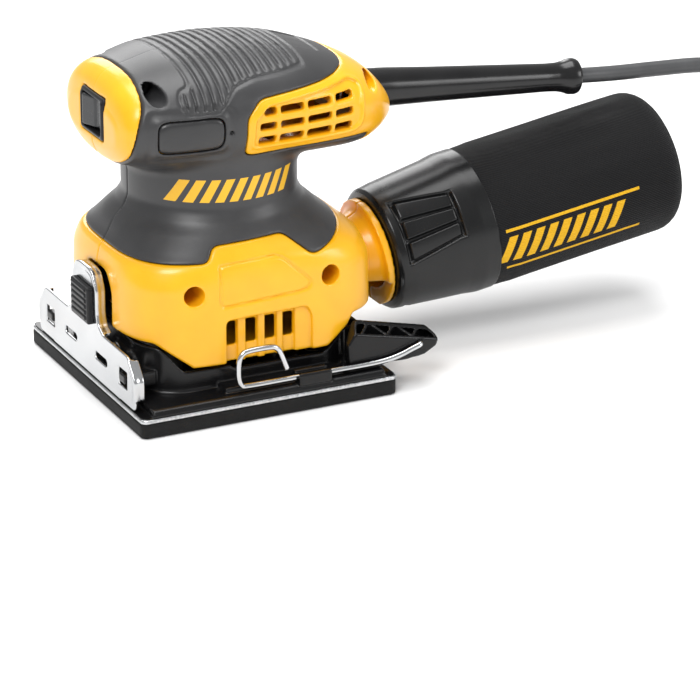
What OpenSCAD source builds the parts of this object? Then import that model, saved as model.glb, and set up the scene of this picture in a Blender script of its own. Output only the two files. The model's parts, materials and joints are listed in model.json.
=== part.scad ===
// Palm-grip orbital sander for a quarter sheet of abrasive.
// +Z is up, +X runs to the rear, where the cord and the dust bag leave, and Y = 0 is the split
// between the two housing shells. The origin is the centre of the pad's working face.

/* [Sanding pad] */
// Length of the pad, front to rear
pad_l = 108; // [84:1:136]
// Width of the pad, side to side
pad_w = 115; // [92:1:140]
// Thickness of the foam pad
foam_t = 6; // [4:0.5:9]
// Thickness of the aluminium backing plate
plate_t = 1.6; // [1:0.1:2.5]
// Corner radius of the pad
pad_r = 3; // [1:0.5:8]
// Number of dust holes through the pad
dust_n = 8; // [4:1:10]
// Diameter of the circle that the dust holes lie on
dust_pcd = 76; // [66:1:80]
// Diameter of a dust hole
dust_d = 9; // [5:0.5:11]

/* [Drive] */
// Offset of the eccentric journal from the motor axis, half the orbit's diameter
orbit_r = 0.8; // [0.4:0.1:1.2]
// Diameter of the motor shaft
shaft_d = 8; // [6:0.5:10]
// Diameter of the eccentric journal
journal_d = 10; // [8:0.5:12]
// Outer diameter of the pad bearing
pad_bearing_d = 28; // [22:1:32]
// Outer diameter of the lower shaft bearing
low_bearing_d = 22; // [19:1:26]
// Outer diameter of the upper shaft bearing
top_bearing_d = 19; // [16:1:22]
// Diameter of the armature
rotor_d = 32.8; // [28:0.2:34]
// Length of the armature and field stacks
stack_h = 34; // [26:1:36]
// Outer diameter of the field stack
field_d = 58; // [50:1:59]
// Outer diameter of the cooling fan
fan_d = 66; // [54:1:70]

/* [Housing] */
// Overall height of the sander
height = 135.8; // [132:0.5:150]
// Width of the head, where the palm rests
head_w = 80; // [70:1:96]
// Length of the head, nose to rear
head_l = 121.5; // [112:0.5:136]
// Diameter of the neck
neck_d = 68.8; // [67:0.2:84]
// Width of the skirt round the fan chamber
skirt_w = 93; // [86:1:100]
// Wall of the moulded shells
wall = 2.4; // [1.8:0.1:3]
// Thickness of the soft overmould
grip_t = 2; // [1.2:0.1:2.4]

/* [Dust outlet and bag] */
// Outer diameter of the dust spout
spout_d = 35; // [28:0.5:40]
// Upward tilt of the spout and bag
bag_tilt = 9; // [0:1:14]
// Length of the twist-lock collar
collar_l = 44; // [38:1:56]
// Diameter of the filled bag
bag_d = 59; // [50:1:64]
// Length of the cloth behind the collar
bag_l = 88; // [60:1:110]

/* [Controls and clamps] */
// Width of the rocker switch
switch_w = 22.6; // [18:0.2:28]
// Height of the rocker switch
switch_h = 17; // [14:0.5:20]
// Thickness of the clamp plates
clamp_t = 1.4; // [1:0.1:2]
// Width of the front clamp plate
clamp_w = 98; // [80:1:110]
// Diameter of the lever wire
wire_d = 2.2; // [1.6:0.1:3]

/* [Cord] */
// Diameter of the mains cord
cord_d = 6.3; // [5:0.1:7]
// Length of the strain relief outside the housing
sleeve_l = 87; // [60:1:100]

/* [Hidden] */
eps = 0.01;
// Clearance of a shaft in a hole that it turns in
run_gap = 0.05;
// Clearance between pieces that move past each other
free_gap = 0.3;
// Gap round whatever orbits with the pad
orbit_gap = 2 * orbit_r + 0.6;

// Heights, from the working face up
z_plate = foam_t;
z_base = foam_t + plate_t;
base_t = 3;
z_deck = z_base + base_t;
z_ledge = z_base + 0.4;
z_bearing = z_base + 2.6;
pad_bearing_h = 8;
z_hub = z_bearing + pad_bearing_h + 0.6;
z_skirt = z_hub + 1.2;
z_weight = z_hub + 1.4;
weight_h = 8;
z_fan = z_weight + weight_h + 1;
fan_h = 11;
z_baffle = z_fan + fan_h + 1;
baffle_t = 2;
low_bearing_h = 7;
z_field = z_baffle + 16;
z_winding_top = z_field + stack_h + 7;
commutator_h = 10;
z_commutator = z_winding_top + 2;
z_top_bearing = z_commutator + commutator_h + 3;
top_bearing_h = 6;
z_brush = z_commutator + commutator_h / 2;

// Motor axis: the journal is on the pad's centre when the sander is at rest
motor_x = -orbit_r;
cheek_w = 8;

// Plan of the skirt, from the pad's edges
skirt_front = -pad_l / 2 + 5.5;
skirt_rear = pad_l / 2 + 3;
skirt_x = (skirt_front + skirt_rear) / 2;
skirt_a = (skirt_rear - skirt_front) / 2;
skirt_b = skirt_w / 2;
z_lift = z_skirt + 10.5;
z_shoulder = 58;
neck_r = neck_d / 2;
head_front = -48.5;

// Shares of the head: distance along it, half width, height of the crest and of the belly
HEAD = [
  [0.000, 0.700, 0.690, 0.180],
  [0.020, 0.775, 0.780, 0.135],
  [0.055, 0.840, 0.860, 0.100],
  [0.115, 0.915, 0.905, 0.058],
  [0.250, 0.985, 0.982, 0.025],
  [0.410, 1.000, 1.000, 0.005],
  [0.520, 0.990, 0.982, 0.000],
  [0.640, 0.960, 0.935, 0.000],
  [0.770, 0.885, 0.825, 0.000],
  [0.845, 0.800, 0.745, 0.010],
  [0.900, 0.690, 0.665, 0.050],
  [0.945, 0.555, 0.555, 0.110],
  [0.980, 0.400, 0.430, 0.180],
  [1.000, 0.230, 0.330, 0.240],
];
head_h = 46;
HEAD_N = 2.4;

// Plan of the neck and skirt at each height: centre, half length, half width, squareness
BODY = [
  [z_skirt, skirt_x, skirt_a, skirt_b, 4],
  [50, skirt_x, skirt_a - 0.5, skirt_b - 0.5, 4],
  [z_shoulder, skirt_x - 0.6, skirt_a - 2.3, skirt_b - 1.5, 3.5],
  [63.5, skirt_x * 0.5, (skirt_a + neck_r) / 2 + 2, (skirt_b + neck_r) / 2 + 2, 2.8],
  [69, 0.4, neck_r + 6.4, neck_r + 4.6, 2.3],
  [74, 0, neck_r + 1.8, neck_r + 1.4, 2.1],
  [79, 0, neck_r, neck_r, 2],
  [height - 28, 0, neck_r, neck_r, 2],
];
SEG = 40;

// Lowest edge of the overmould on the skirt, and the step in it
z_grip = 60.5;
grip_step = 6;

// Dust outlet, along the tilted axis
spout_x = 70;
spout_z = 38;
spout_r = spout_d / 2;
spout_l = 27;
spout_wall = 2.5;
seal_t = 3;
collar_front_r = 25.3;
collar_back_r = 29.3;
collar_gap = 0.6;

// Strain relief and cord
sleeve_tilt = 4.9;
sleeve_x = 75.6;
sleeve_z = 105.8;
sleeve_r = 7.8;
CORD_PATH = [
  [162.6, 0, 98.4], [180, -0.8, 97.4], [199, -2.6, 97.2], [218, -5.5, 97], [236, -9, 94.5],
  [254, -13, 87.5], [268, -17, 78.5], [280, -21, 68], [291, -25, 57], [302, -29.5, 46],
  [313, -35, 35.5], [323, -42, 26.5], [329.5, -51, 19.5], [332.1, -62, 15.8],
];
PLUG_PATH = [
  [310, -100.2, 3.2], [299, -106.5, 3.2], [288.4, -112.2, 3.2], [276, -113.9, 3.6],
  [264, -111.8, 4.6], [252, -106.8, 6.2], [244, -102.6, 7.2], [238, -100.1, 7.5], [231, -99.5, 7.5],
];
coil_x = 288;
coil_y = -62;
coil_r = 37.8;
coil_turns = 3;
plug_face_x = 194;
plug_y = -99.5;
plug_z = 7.5;
pin_d = 4.8;
pin_l = 19;
pin_gap = 19;

// Front clamp: it rocks on the lugs of the platen
clamp_x = -pad_l / 2 + 0.6;
clamp_pivot_x = clamp_x + clamp_t / 2;
clamp_z = z_base + 10.4;
tongue_w = 24;
tongue_top = 52;
lug_y = 37;
lug_w = 6;
hole_w = 8.4;
hole_h = 7;
lug_h = 3.4;

// Rear clamp and the lever wire that closes it
rear_pivot_x = pad_l / 2 + 12;
rear_pivot_z = z_base + 10;
cheek_y = pad_w / 2 - 13.5;
lever_y = pad_w / 2 - 3.6;
lever_z = z_deck + 2.4;
// Arm and finger loop, by distance ahead of the pivot and height over the arm
LEVER_PATH = [
  [0, rear_pivot_z - lever_z], [4, 3.4], [9, 1.7], [15, 0.5], [23, 0], [38, 0], [56, 0], [74, 0],
  [77.5, 1], [78.4, 4.2], [78.2, 10.2], [77, 13.2], [74, 14.4], [65, 14.4], [62, 13.6],
  [60.6, 11.2], [58, 4.2],
];

screw_d = 4;
screw_head_d = 7.4;
// Screws that join the shells: x, height, depth of the head from the joint, and head diameter
SCREWS = [
  [-34, 125.5, 12, screw_head_d], [58.6, 116.8, 6, 5.2],
  [-26, 49, 12, screw_head_d], [31, 49, 12, screw_head_d],
];

leg_x = pad_l / 2 - 23;
leg_y = 31;
leg_d = 11;
z_leg = z_deck + 5;
leg_h = 20;

// ---------- shared shapes ----------

function spow(v, p) = sign(v) * pow(abs(v), p);

// Points round a superellipse with the given half sizes and squareness
function oval(a, b, n) = [for (i = [0:SEG - 1])
  [a * spow(cos(360 * i / SEG), 2 / n), b * spow(sin(360 * i / SEG), 2 / n)]];

function triangles_between(j, n) = [for (i = [0:n - 1]) each [
  [j * n + i, (j + 1) * n + (i + 1) % n, j * n + (i + 1) % n],
  [j * n + i, (j + 1) * n + i, (j + 1) * n + (i + 1) % n]]];

// Solid through a row of rings that have the same number of points
module skin(rings) {
  n = len(rings[0]);
  last = len(rings) - 1;
  polyhedron(
    points = [for (r = rings) each r],
    faces = [
      [for (i = [0:n - 1]) i],
      for (j = [0:last - 1]) each triangles_between(j, n),
      [for (i = [n - 1:-1:0]) last * n + i],
    ]);
}

// A free-form moulding, kept as one surface
module moulding() {
  resize([0, 0, 0]) children();
}

function unit(v) = v / norm(v);
function heading(p, i) = unit(p[min(i + 1, len(p) - 1)] - p[max(i - 1, 0)]);
// A side direction square to each heading, carried along the route without twist
function carried(p, i) = i == 0
  ? unit(cross(heading(p, 0), [0.01, 0.02, 1]))
  : let (s = carried(p, i - 1), t = heading(p, i)) unit(s - t * (s * t));

// Round bar along a route
module bar_along(p, d, sides = 10) {
  skin([for (i = [0:len(p) - 1])
    let (t = heading(p, i), s = carried(p, i), u = cross(t, s))
    [for (k = [0:sides - 1]) p[i] + d / 2 * (cos(360 * k / sides) * s + sin(360 * k / sides) * u)]]);
}

// Point on a smooth curve through four points
function blend4(a, b, c, d, t) = 0.5 * (2 * b + (c - a) * t + (2 * a - 5 * b + 4 * c - d) * t * t
  + (3 * b - a - 3 * c + d) * t * t * t);
// Smooth route through chosen points, with this many steps between them
function smooth(p, steps) = let (m = len(p) - 1) [
  for (i = [0:m - 1], k = [0:steps - 1])
    blend4(p[max(i - 1, 0)], p[i], p[i + 1], p[min(i + 2, m)], k / steps),
  p[m]];

function helix(r, h, turns, wire) = [for (i = [0:turns * 12])
  [r * cos(30 * i), r * sin(30 * i), wire / 2 + (h - wire) * i / (turns * 12)]];

// A plate with true arcs at its corners
module true_plate(l, w, r, h) {
  translate([-l / 2 + r, -w / 2, 0]) cube([l - 2 * r, w, h]);
  translate([-l / 2, -w / 2 + r, 0]) cube([l, w - 2 * r, h]);
  for (x = [-1, 1], y = [-1, 1])
    translate([x * (l / 2 - r), y * (w / 2 - r), 0]) cylinder(h = h, r = r, $fn = 48);
}

module ring(d_out, d_in, h) {
  difference() {
    cylinder(h = h, d = d_out, $fn = 96);
    translate([0, 0, -1]) cylinder(h = h + 2, d = d_in, $fn = 96);
  }
}

module at_motor(z) {
  translate([motor_x, 0, z]) children();
}

module both_sides() {
  children();
  mirror([0, 1, 0]) children();
}

// Along the spout: the outlet's mouth is at 0 and the bag is at positive heights
module on_spout() {
  translate([spout_x, 0, spout_z]) rotate([0, 90 - bag_tilt, 0]) children();
}

module on_sleeve() {
  translate([sleeve_x, 0, sleeve_z]) rotate([0, 90 + sleeve_tilt, 0]) children();
}

module side_half(side) {
  far = 200;
  translate([-far, side > 0 ? 0 : -far, 0]) cube([2 * far, far, far]);
}

// ---------- housing ----------

function head_z(share) = height - head_h * (1 - share);

module head_form(inset) {
  skin([for (s = HEAD)
    let (
      x0 = head_front + head_l * s[0],
      x = min(max(x0, head_front + inset), head_front + head_l - inset),
      zt = head_z(s[2]) - inset,
      zb = head_z(s[3]) + inset)
    [for (p = oval(head_w / 2 * s[1] - inset, (zt - zb) / 2, HEAD_N))
      [x + eps * s[0], p[0], (zt + zb) / 2 + p[1]]]]);
}

module body_form(inset) {
  skin([for (s = BODY)
    [for (p = oval(s[2] - inset, s[3] - inset, s[4]))
      [s[1] + p[0], p[1], s[0] == z_skirt ? s[0] - inset : s[0]]]]);
}

module spout_form(r0, r1) {
  on_spout() rotate_extrude($fn = 64) polygon([
    [0, -24], [r0, -24], [r0, -6], [r0 + 2, -3.4], [r1 + 3.6, -2.4], [r1 + 4.4, -1.4],
    [r1 + 4.4, 0], [r1, 0], [r1, spout_l], [0, spout_l]]);
}

// Groove in the shells that holds the flange of the strain relief
module sleeve_groove() {
  on_sleeve() {
    translate([0, 0, -20]) cylinder(h = 40, r = sleeve_r + 0.1, $fn = 48);
    translate([0, 0, -12.1]) cylinder(h = 2.4, r = sleeve_r + 0.8, $fn = 48);
  }
}

// Whole outer form, drawn in by the inset
module outer_form(inset) {
  head_form(inset);
  body_form(inset);
}

// Space under the skirt where the platen's front and rear blocks stand
module skirt_arches() {
  far = skirt_w;
  rotate([90, 0, 0]) translate([0, 0, -far]) linear_extrude(2 * far) {
    polygon([[skirt_front - 5, z_skirt - 5], [skirt_front + 22, z_skirt - 5], [skirt_front + 20, z_skirt],
      [skirt_front + 8, z_lift], [skirt_front - 5, z_lift]]);
    polygon([[skirt_rear + 5, z_skirt - 5], [skirt_rear - 28, z_skirt - 5], [skirt_rear - 26, z_skirt],
      [skirt_rear - 14, z_lift], [skirt_rear + 5, z_lift]]);
  }
}

// Opening in the skirt that the clamp's tongue is pushed into
module tongue_arch() {
  w = tongue_w + 4;
  translate([skirt_front + 12, 0, z_lift - 1]) rotate([0, -90, 0]) linear_extrude(24) {
    translate([0, -w / 2]) square([tongue_top - z_lift - w / 4, w]);
    translate([tongue_top - z_lift + 2.4 - w / 4, 0]) resize([w / 2, w]) circle(10, $fn = 32);
  }
}

// Slots of the motor's air inlet, in the side of the head
module grille_slots() {
  rows = [104.5, 110.3, 116.1];
  columns = [[5, 8.5], [15.5, 12], [29.5, 12], [43.5, 6]];
  for (z = rows, c = columns)
    translate([c[0], head_w / 2 - 16, z - 1.3]) cube([c[1], 20, 2.6]);
}

// Slots of the air outlet, in the side of the skirt
module skirt_slots() {
  for (i = [0:3]) translate([-12.5 + 8 * i, skirt_b - 9, 27]) cube([4.4, 14, 9.5]);
}

// Region of the head and neck that the soft overmould covers
module grip_region() {
  far = head_w;
  difference() {
    rotate([90, 0, 0]) translate([0, 0, -far]) linear_extrude(2 * far) polygon([
      [head_front + 7, 150], [head_front + 9, 104], [head_front + 7, 92], [-60, 85], [-60, z_grip],
      [-18, z_grip], [-15, z_grip + grip_step], [15, z_grip + grip_step], [24, z_grip - 2],
      [44, z_grip + 2], [70, z_grip + 8], [70, 80], [46, 88], [56, 96],
      [56, 100], [-0.5, 100], [-0.5, 117], [6, 122], [52, 124], [58, 150]]);
    on_spout() translate([0, 0, -30]) cylinder(h = 40, r = spout_r + 3, $fn = 48);
  }
}

module screw_wells() {
  for (s = SCREWS) translate([s[0], 0, s[1]]) rotate([-90, 0, 0])
    translate([0, 0, s[2]]) cylinder(h = 60, d = s[3] + 0.8, $fn = 32);
}

module screw_bosses() {
  for (s = SCREWS) translate([s[0], 0, s[1]]) rotate([90, 0, 0])
    cylinder(h = 2 * head_w, d = s[3] + 3.6, center = true, $fn = 32);
}

module screw_holes() {
  for (s = SCREWS) translate([s[0], 0, s[1]]) rotate([90, 0, 0])
    cylinder(h = 40, d = screw_d + 0.3, center = true, $fn = 32);
}

// Ledges, webs and bosses inside the shells
module inner_webs() {
  boot_d = top_bearing_d + 3;
  web_t = 2.4;
  // Seat of the fan baffle
  translate([-90, -90, z_baffle - 2]) difference() {
    cube([180, 180, 2]);
    translate([90 + motor_x, 90, -1]) cylinder(h = 4, d = fan_d + 4, $fn = 64);
  }
  // Seat of the field stack
  translate([-90, -90, z_field - 3]) difference() {
    cube([180, 180, 3]);
    translate([90 + motor_x, 90, -1]) cylinder(h = 5, d = field_d - 6, $fn = 64);
  }
  // Web that holds the upper bearing's boot
  difference() {
    union() {
      at_motor(z_top_bearing - 1) cylinder(h = top_bearing_h + 2, d = boot_d + 6, $fn = 64);
      at_motor(z_top_bearing + 1) translate([-34, -70, 0]) cube([66, 140, web_t]);
    }
    at_motor(z_top_bearing - 2) cylinder(h = top_bearing_h + 4, d = boot_d + 0.1, $fn = 96);
  }
  // Bosses over the rubber legs, clear of the fan
  difference() {
    for (x = [-1, 1], y = [-1, 1]) translate([x * leg_x + motor_x, y * leg_y, z_leg + leg_h])
      cylinder(h = z_baffle - z_leg - leg_h, d = leg_d + 4, $fn = 32);
    at_motor(z_fan - 5) cylinder(h = fan_h + 5, d = fan_d + 2, $fn = 64);
  }
}

// One shell: the outer form less its hollow, with webs, wells and openings
module shell(side) {
  moulding() intersection() {
    side_half(side);
    difference() {
      union() {
        difference() {
          union() {
            outer_form(0);
            spout_form(spout_r - 2, spout_r);
          }
          difference() {
            outer_form(wall + grip_t);
            inner_webs();
            screw_bosses();
          }
        }
      }
      difference() {
        intersection() {
          grip_region();
          outer_form(-1);
        }
        outer_form(grip_t);
      }
      on_spout() translate([0, 0, -34]) cylinder(h = 80, r = spout_r - spout_wall, $fn = 48);
      skirt_arches();
      tongue_arch();
      both_sides() grille_slots();
      both_sides() skirt_slots();
      both_sides() screw_wells();
      screw_holes();
      side_inlay_forms(0);
      switch_pocket();
      sleeve_groove();
    }
  }
}

module housing_left() {
  color("gold") shell(-1);
}

module housing_right() {
  color("gold") shell(1);
}

// Soft overmould on one shell
module grip(side) {
  moulding() difference() {
    intersection() {
      side_half(side);
      grip_region();
      outer_form(0);
    }
    outer_form(grip_t);
    both_sides() screw_wells();
    side_inlay_forms(0);
    sleeve_groove();
  }
}

module grip_left() {
  color("dimgray") grip(-1);
}

module grip_right() {
  color("dimgray") grip(1);
}

// Pads let into the sides of the head
module side_inlay_forms(gap) {
  both_sides() translate([-23, head_w / 2 - 6, 110.5]) rotate([-90, 0, 0])
    true_plate(26 - 2 * gap, 13 - 2 * gap, 3, 12);
}

module side_inlays() {
  color("#3a3a3c") moulding() intersection() {
    side_inlay_forms(0.1);
    outer_form(0.8);
  }
}

module housing_screws() {
  color("silver") for (s = SCREWS) translate([s[0], -s[2], s[1]]) rotate([-90, 0, 0]) {
    translate([0, 0, -2.6]) difference() {
      cylinder(h = 2.6, d = s[3], $fn = 48);
      translate([0, 0, -1]) cylinder(h = 2.4, d = s[3] / 2, $fn = 6);
    }
    cylinder(h = 2 * s[2] - 1, d = min(screw_d, s[3] - 1.6), $fn = 48);
  }
}

// ---------- switch ----------

switch_z = 112.5;
switch_x = head_front + 1.4;
module switch_pocket() {
  translate([head_front - 2, -switch_w / 2 - 0.1, switch_z - switch_h / 2 - 0.1])
    cube([26, switch_w + 0.2, switch_h + 0.2]);
}

rocker_x = head_front + 4.4;
rocker_w = switch_w - 5;
rocker_h = switch_h - 4.6;
module switch_body() {
  color("#1c1c1e") difference() {
    translate([head_front - 0.6, -switch_w / 2, switch_z - switch_h / 2])
      cube([24, switch_w, switch_h]);
    translate([head_front - 2, -rocker_w / 2 - 0.4, switch_z - rocker_h / 2 - 0.3])
      cube([13, rocker_w + 0.8, rocker_h + 0.6]);
    translate([rocker_x, 0, switch_z - rocker_h / 2 - 1.6])
      cylinder(h = rocker_h + 3.2, r = 1 + run_gap, $fn = 32);
  }
}

// Rocker with one end pressed in, on its upright pivot
module switch_rocker() {
  color("#2c2c2e") {
    translate([rocker_x, 0, switch_z - rocker_h / 2]) {
      linear_extrude(rocker_h) polygon([
        [1.5, -2.5], [1.5, 2.5], [-1, rocker_w / 2 - 0.5], [-5.2, rocker_w / 2 - 0.8], [-3, 0],
        [-3.4, -rocker_w / 2 + 0.5], [0, -rocker_w / 2 + 0.4]]);
      translate([0, 0, -1.5]) cylinder(h = rocker_h + 3, r = 1, $fn = 32);
    }
  }
}

// ---------- cord entry ----------

module cord_sleeve() {
  color("#202022") on_sleeve() difference() {
    rotate_extrude($fn = 64) polygon([
      [0, -12], [sleeve_r + 0.7, -12], [sleeve_r + 0.7, -9.8], [sleeve_r, -9.8], [sleeve_r, 0],
      [7.1, 20], [5.7, sleeve_l - 11], [5.9, sleeve_l - 8], [7.2, sleeve_l - 4.5],
      [7.4, sleeve_l - 2], [6.8, sleeve_l], [0, sleeve_l]]);
    translate([0, 0, -16]) cylinder(h = sleeve_l + 20, d = cord_d + 0.1, $fn = 48);
  }
}

module cord_inner_run() {
  color("#48484a") on_sleeve() translate([0, 0, -34]) cylinder(h = 34 + sleeve_l, d = cord_d, $fn = 48);
}

clamp_bar_w = 24;
module cord_clamp() {
  color("#e8e8e4") on_sleeve() translate([0, 0, -26]) difference() {
    translate([cord_d / 2 - 0.6, -clamp_bar_w / 2, 0]) cube([4, clamp_bar_w, 7]);
    cylinder(h = 20, d = cord_d + 0.1, center = true, $fn = 48);
    for (y = [-8, 8]) translate([0, y, 3.5]) rotate([0, 90, 0])
      cylinder(h = 20, d = 3.1, $fn = 32);
  }
}

module cord_clamp_screws() {
  color("silver") on_sleeve() translate([0, 0, -26]) for (y = [-8, 8]) translate([0, y, 3.5])
    rotate([0, 90, 0]) {
      translate([0, 0, -6]) cylinder(h = cord_d / 2 + 9.4, d = 3, $fn = 32);
      translate([0, 0, cord_d / 2 + 3.4]) cylinder(h = 2, d = 5.6, $fn = 32);
    }
}

// ---------- motor, fixed part ----------

module field_core() {
  color("#6a6c70") at_motor(z_field) difference() {
    intersection() {
      cylinder(h = stack_h, d = field_d, $fn = 96);
      translate([-field_d / 2 + 3, -field_d / 2, 0]) cube([field_d - 6, field_d, stack_h]);
    }
    translate([0, 0, -1]) cylinder(h = stack_h + 2, d = rotor_d + 1.4, $fn = 96);
    for (x = [-1, 1]) translate([x > 0 ? 9 : -24, -13, -1]) cube([15, 26, stack_h + 2]);
  }
}

// A coil round each pole of the field: two upright sides and two curved ends
module field_coils() {
  coil_in = rotor_d / 2 + 1.6;
  coil_out = min(coil_in + 6, field_d / 2 - 5);
  color("#b5651d") at_motor(0) for (side = [0, 180]) rotate([0, 0, side]) {
    for (z = [z_field - 5, z_field + stack_h + 0.4]) translate([0, 0, z]) rotate([0, 0, 32])
      rotate_extrude(angle = 116, $fn = 64) translate([coil_in, 0]) square([coil_out - coil_in, 4.6]);
    for (a = [29, 151]) rotate([0, 0, a]) translate([coil_in, -2.2, z_field - 5])
      cube([4.4, 4.4, stack_h + 10]);
  }
}

brush_w = 6;
brush_h = 7;
commutator_d = 20;
holder_l = 16.5;
module brush_holders() {
  color("#c9a24a") at_motor(z_brush) both_sides() translate([-brush_w / 2 - 1.2, commutator_d / 2 + 1.6, -brush_h / 2 - 1.2])
    difference() {
      cube([brush_w + 2.4, holder_l, brush_h + 2.4]);
      translate([1.1, -1, 1.1]) cube([brush_w + 0.2, holder_l - 0.2, brush_h + 0.2]);
    }
}

module carbon_brushes() {
  color("#2b2b2b") at_motor(z_brush) both_sides()
    translate([-brush_w / 2, commutator_d / 2 + 0.2, -brush_h / 2]) cube([brush_w, 10, brush_h]);
}

module brush_springs() {
  color("silver") at_motor(z_brush) both_sides() translate([0, commutator_d / 2 + 10.3, 0])
    rotate([-90, 0, 0]) bar_along(helix(2.2, holder_l - 10, 4, 0.7), 0.7, 6);
}

module upper_bearing() {
  color("silver") at_motor(z_top_bearing) ring(top_bearing_d, shaft_d - 1 + 2 * run_gap, top_bearing_h);
}

module upper_bearing_boot() {
  color("#28282a") at_motor(z_top_bearing - 1) difference() {
    cylinder(h = top_bearing_h + 2, d = top_bearing_d + 3, $fn = 96);
    translate([0, 0, 1]) cylinder(h = top_bearing_h, d = top_bearing_d, $fn = 96);
    translate([0, 0, -1]) cylinder(h = top_bearing_h + 4, d = top_bearing_d - 4, $fn = 96);
  }
}

module lower_bearing() {
  color("silver") at_motor(z_baffle) ring(low_bearing_d, shaft_d + 2 * run_gap, low_bearing_h);
}

module fan_baffle() {
  color("#303032") at_motor(z_baffle) difference() {
    union() {
      intersection() {
        cylinder(h = baffle_t, d = fan_d + 14, $fn = 96);
        translate([-pad_l / 2 + 13.5, -fan_d, -1]) cube([pad_l - 27, 2 * fan_d, baffle_t + 2]);
      }
      cylinder(h = low_bearing_h + 1.6, d = low_bearing_d + 6, $fn = 96);
    }
    translate([0, 0, -1]) cylinder(h = low_bearing_h + 1, d = low_bearing_d, $fn = 96);
    translate([0, 0, -1]) cylinder(h = 30, d = low_bearing_d - 5, $fn = 96);
    for (a = [0:45:315]) rotate([0, 0, a]) translate([low_bearing_d / 2 + 9, 0, -1])
      cylinder(h = baffle_t + 2, d = 7, $fn = 32);
  }
}

module capacitor() {
  color("#c8b400") translate([15, -7.5, z_top_bearing + 3.5]) cube([15, 15, 7]);
}

wire_out_d = 1.8;
// Insulated leads: switch to brushes, and cord to switch
module motor_wires() {
  up = switch_z + 5.6;
  feed = [[40, 4.5, 111], [38.5, 9, 115], [33, 15, 119], [22, 21, 121], [8, 24, 121.6], [-6, 23, 121],
    [-14, 17, 119.5], [-19, 9, up], [-24.4, 5, up]];
  colours = ["#7a4a2a", "#2a4a8a"];
  for (i = [0, 1]) color(colours[i])
    bar_along(smooth([for (p = feed) [p[0], (i == 0 ? 1 : -1) * p[1], p[2]]], 4), wire_out_d, 6);
}

module isolator_legs() {
  color("#1e1e20") for (x = [-1, 1], y = [-1, 1])
    translate([x * leg_x + motor_x, y * leg_y, z_leg + 0.05]) rotate_extrude($fn = 48) polygon([
      [0, 0], [leg_d / 2, 0], [leg_d / 2, 3], [leg_d / 2 - 1.6, 6], [leg_d / 2 - 1.6, leg_h - 6],
      [leg_d / 2, leg_h - 3], [leg_d / 2, leg_h - 0.05], [0, leg_h - 0.05]]);
}

// ---------- motor, turning part ----------

module motor_shaft() {
  color("silver") at_motor(0) {
    translate([0, 0, z_weight + 2]) cylinder(h = z_winding_top - z_weight - 2, d = shaft_d, $fn = 64);
    translate([0, 0, z_winding_top]) cylinder(h = z_top_bearing + top_bearing_h - z_winding_top, d = shaft_d - 1, $fn = 64);
  }
}

slots = 12;
module armature_core() {
  color("#7c7e82") at_motor(z_field) difference() {
    cylinder(h = stack_h, d = rotor_d, $fn = 96);
    translate([0, 0, -1]) cylinder(h = stack_h + 2, d = shaft_d, $fn = 64);
    for (i = [0:slots - 1]) rotate([0, 0, 360 / slots * i]) translate([rotor_d / 2 - 5.5, -1.1, -1])
      cube([8, 2.2, stack_h + 2]);
  }
}

module armature_windings() {
  color("#a5521a") at_motor(0) {
    for (z = [z_field - 6.5, z_field + stack_h]) translate([0, 0, z]) rotate_extrude($fn = 64)
      polygon([[shaft_d / 2, 0], [rotor_d / 2 - 5, 0], [rotor_d / 2 - 2, 2], [rotor_d / 2 - 2, 4.5],
        [rotor_d / 2 - 5, 6.5], [shaft_d / 2, 6.5]]);
    for (i = [0:slots - 1]) rotate([0, 0, 360 / slots * i]) translate([rotor_d / 2 - 5.4, -1, z_field])
      cube([4, 2, stack_h]);
  }
}

module commutator() {
  color("#b87333") at_motor(z_commutator) difference() {
    cylinder(h = commutator_h, d = commutator_d, $fn = 96);
    translate([0, 0, -1]) cylinder(h = commutator_h + 2, d = shaft_d - 1, $fn = 64);
    for (i = [0:23]) rotate([0, 0, 15 * i]) translate([commutator_d / 2 - 0.8, -0.25, -1])
      cube([2, 0.5, commutator_h + 2]);
  }
}

blades = 11;
module cooling_fan() {
  hub_d = shaft_d + 12;
  color("#3c3c40") at_motor(z_fan) difference() {
    union() {
      cylinder(h = fan_h, d = hub_d, $fn = 64);
      translate([0, 0, fan_h - 1.6]) cylinder(h = 1.6, d = fan_d, $fn = 96);
      for (i = [0:blades - 1]) rotate([0, 0, 360 / blades * i]) translate([hub_d / 2 - 1, -0.8, 2])
        cube([(fan_d - hub_d) / 2 - 1, 1.6, fan_h - 3]);
    }
    translate([0, 0, -1]) cylinder(h = fan_h + 2, d = shaft_d, $fn = 64);
  }
}

// Hub pressed on the shaft, with the offset journal below and a counterweight opposite it
module eccentric() {
  weight_r = 25;
  color("#909296") difference() {
    union() {
      at_motor(z_weight) cylinder(h = weight_h, d = shaft_d + 12, $fn = 64);
      at_motor(z_weight) intersection() {
        cylinder(h = weight_h, r = weight_r, $fn = 96);
        translate([-weight_r - 1, -weight_r - 1, 0]) cube([weight_r - 3, 2 * weight_r + 2, weight_h]);
      }
      translate([0, 0, z_bearing]) cylinder(h = z_weight - z_bearing, d = journal_d, $fn = 64);
    }
    at_motor(z_weight + 2) cylinder(h = weight_h, d = shaft_d, $fn = 64);
    translate([0, 0, z_bearing - 1]) cylinder(h = 11.4, d = 5, $fn = 48);
  }
}

module pad_screw() {
  color("silver") translate([0, 0, z_bearing]) {
    difference() {
      translate([0, 0, -2]) cylinder(h = 1.9, d = journal_d + 4, $fn = 64);
      translate([0, 0, -3]) cylinder(h = 2.2, d = 5, $fn = 6);
    }
    cylinder(h = 9.8, d = 5, $fn = 48);
  }
}

// ---------- pad and platen ----------

module dust_bores(z0, h, d) {
  for (i = [0:dust_n - 1]) rotate([0, 0, 360 / dust_n * (i + 0.5)])
    translate([dust_pcd / 2, 0, z0]) cylinder(h = h, d = d, $fn = 48);
}

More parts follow.
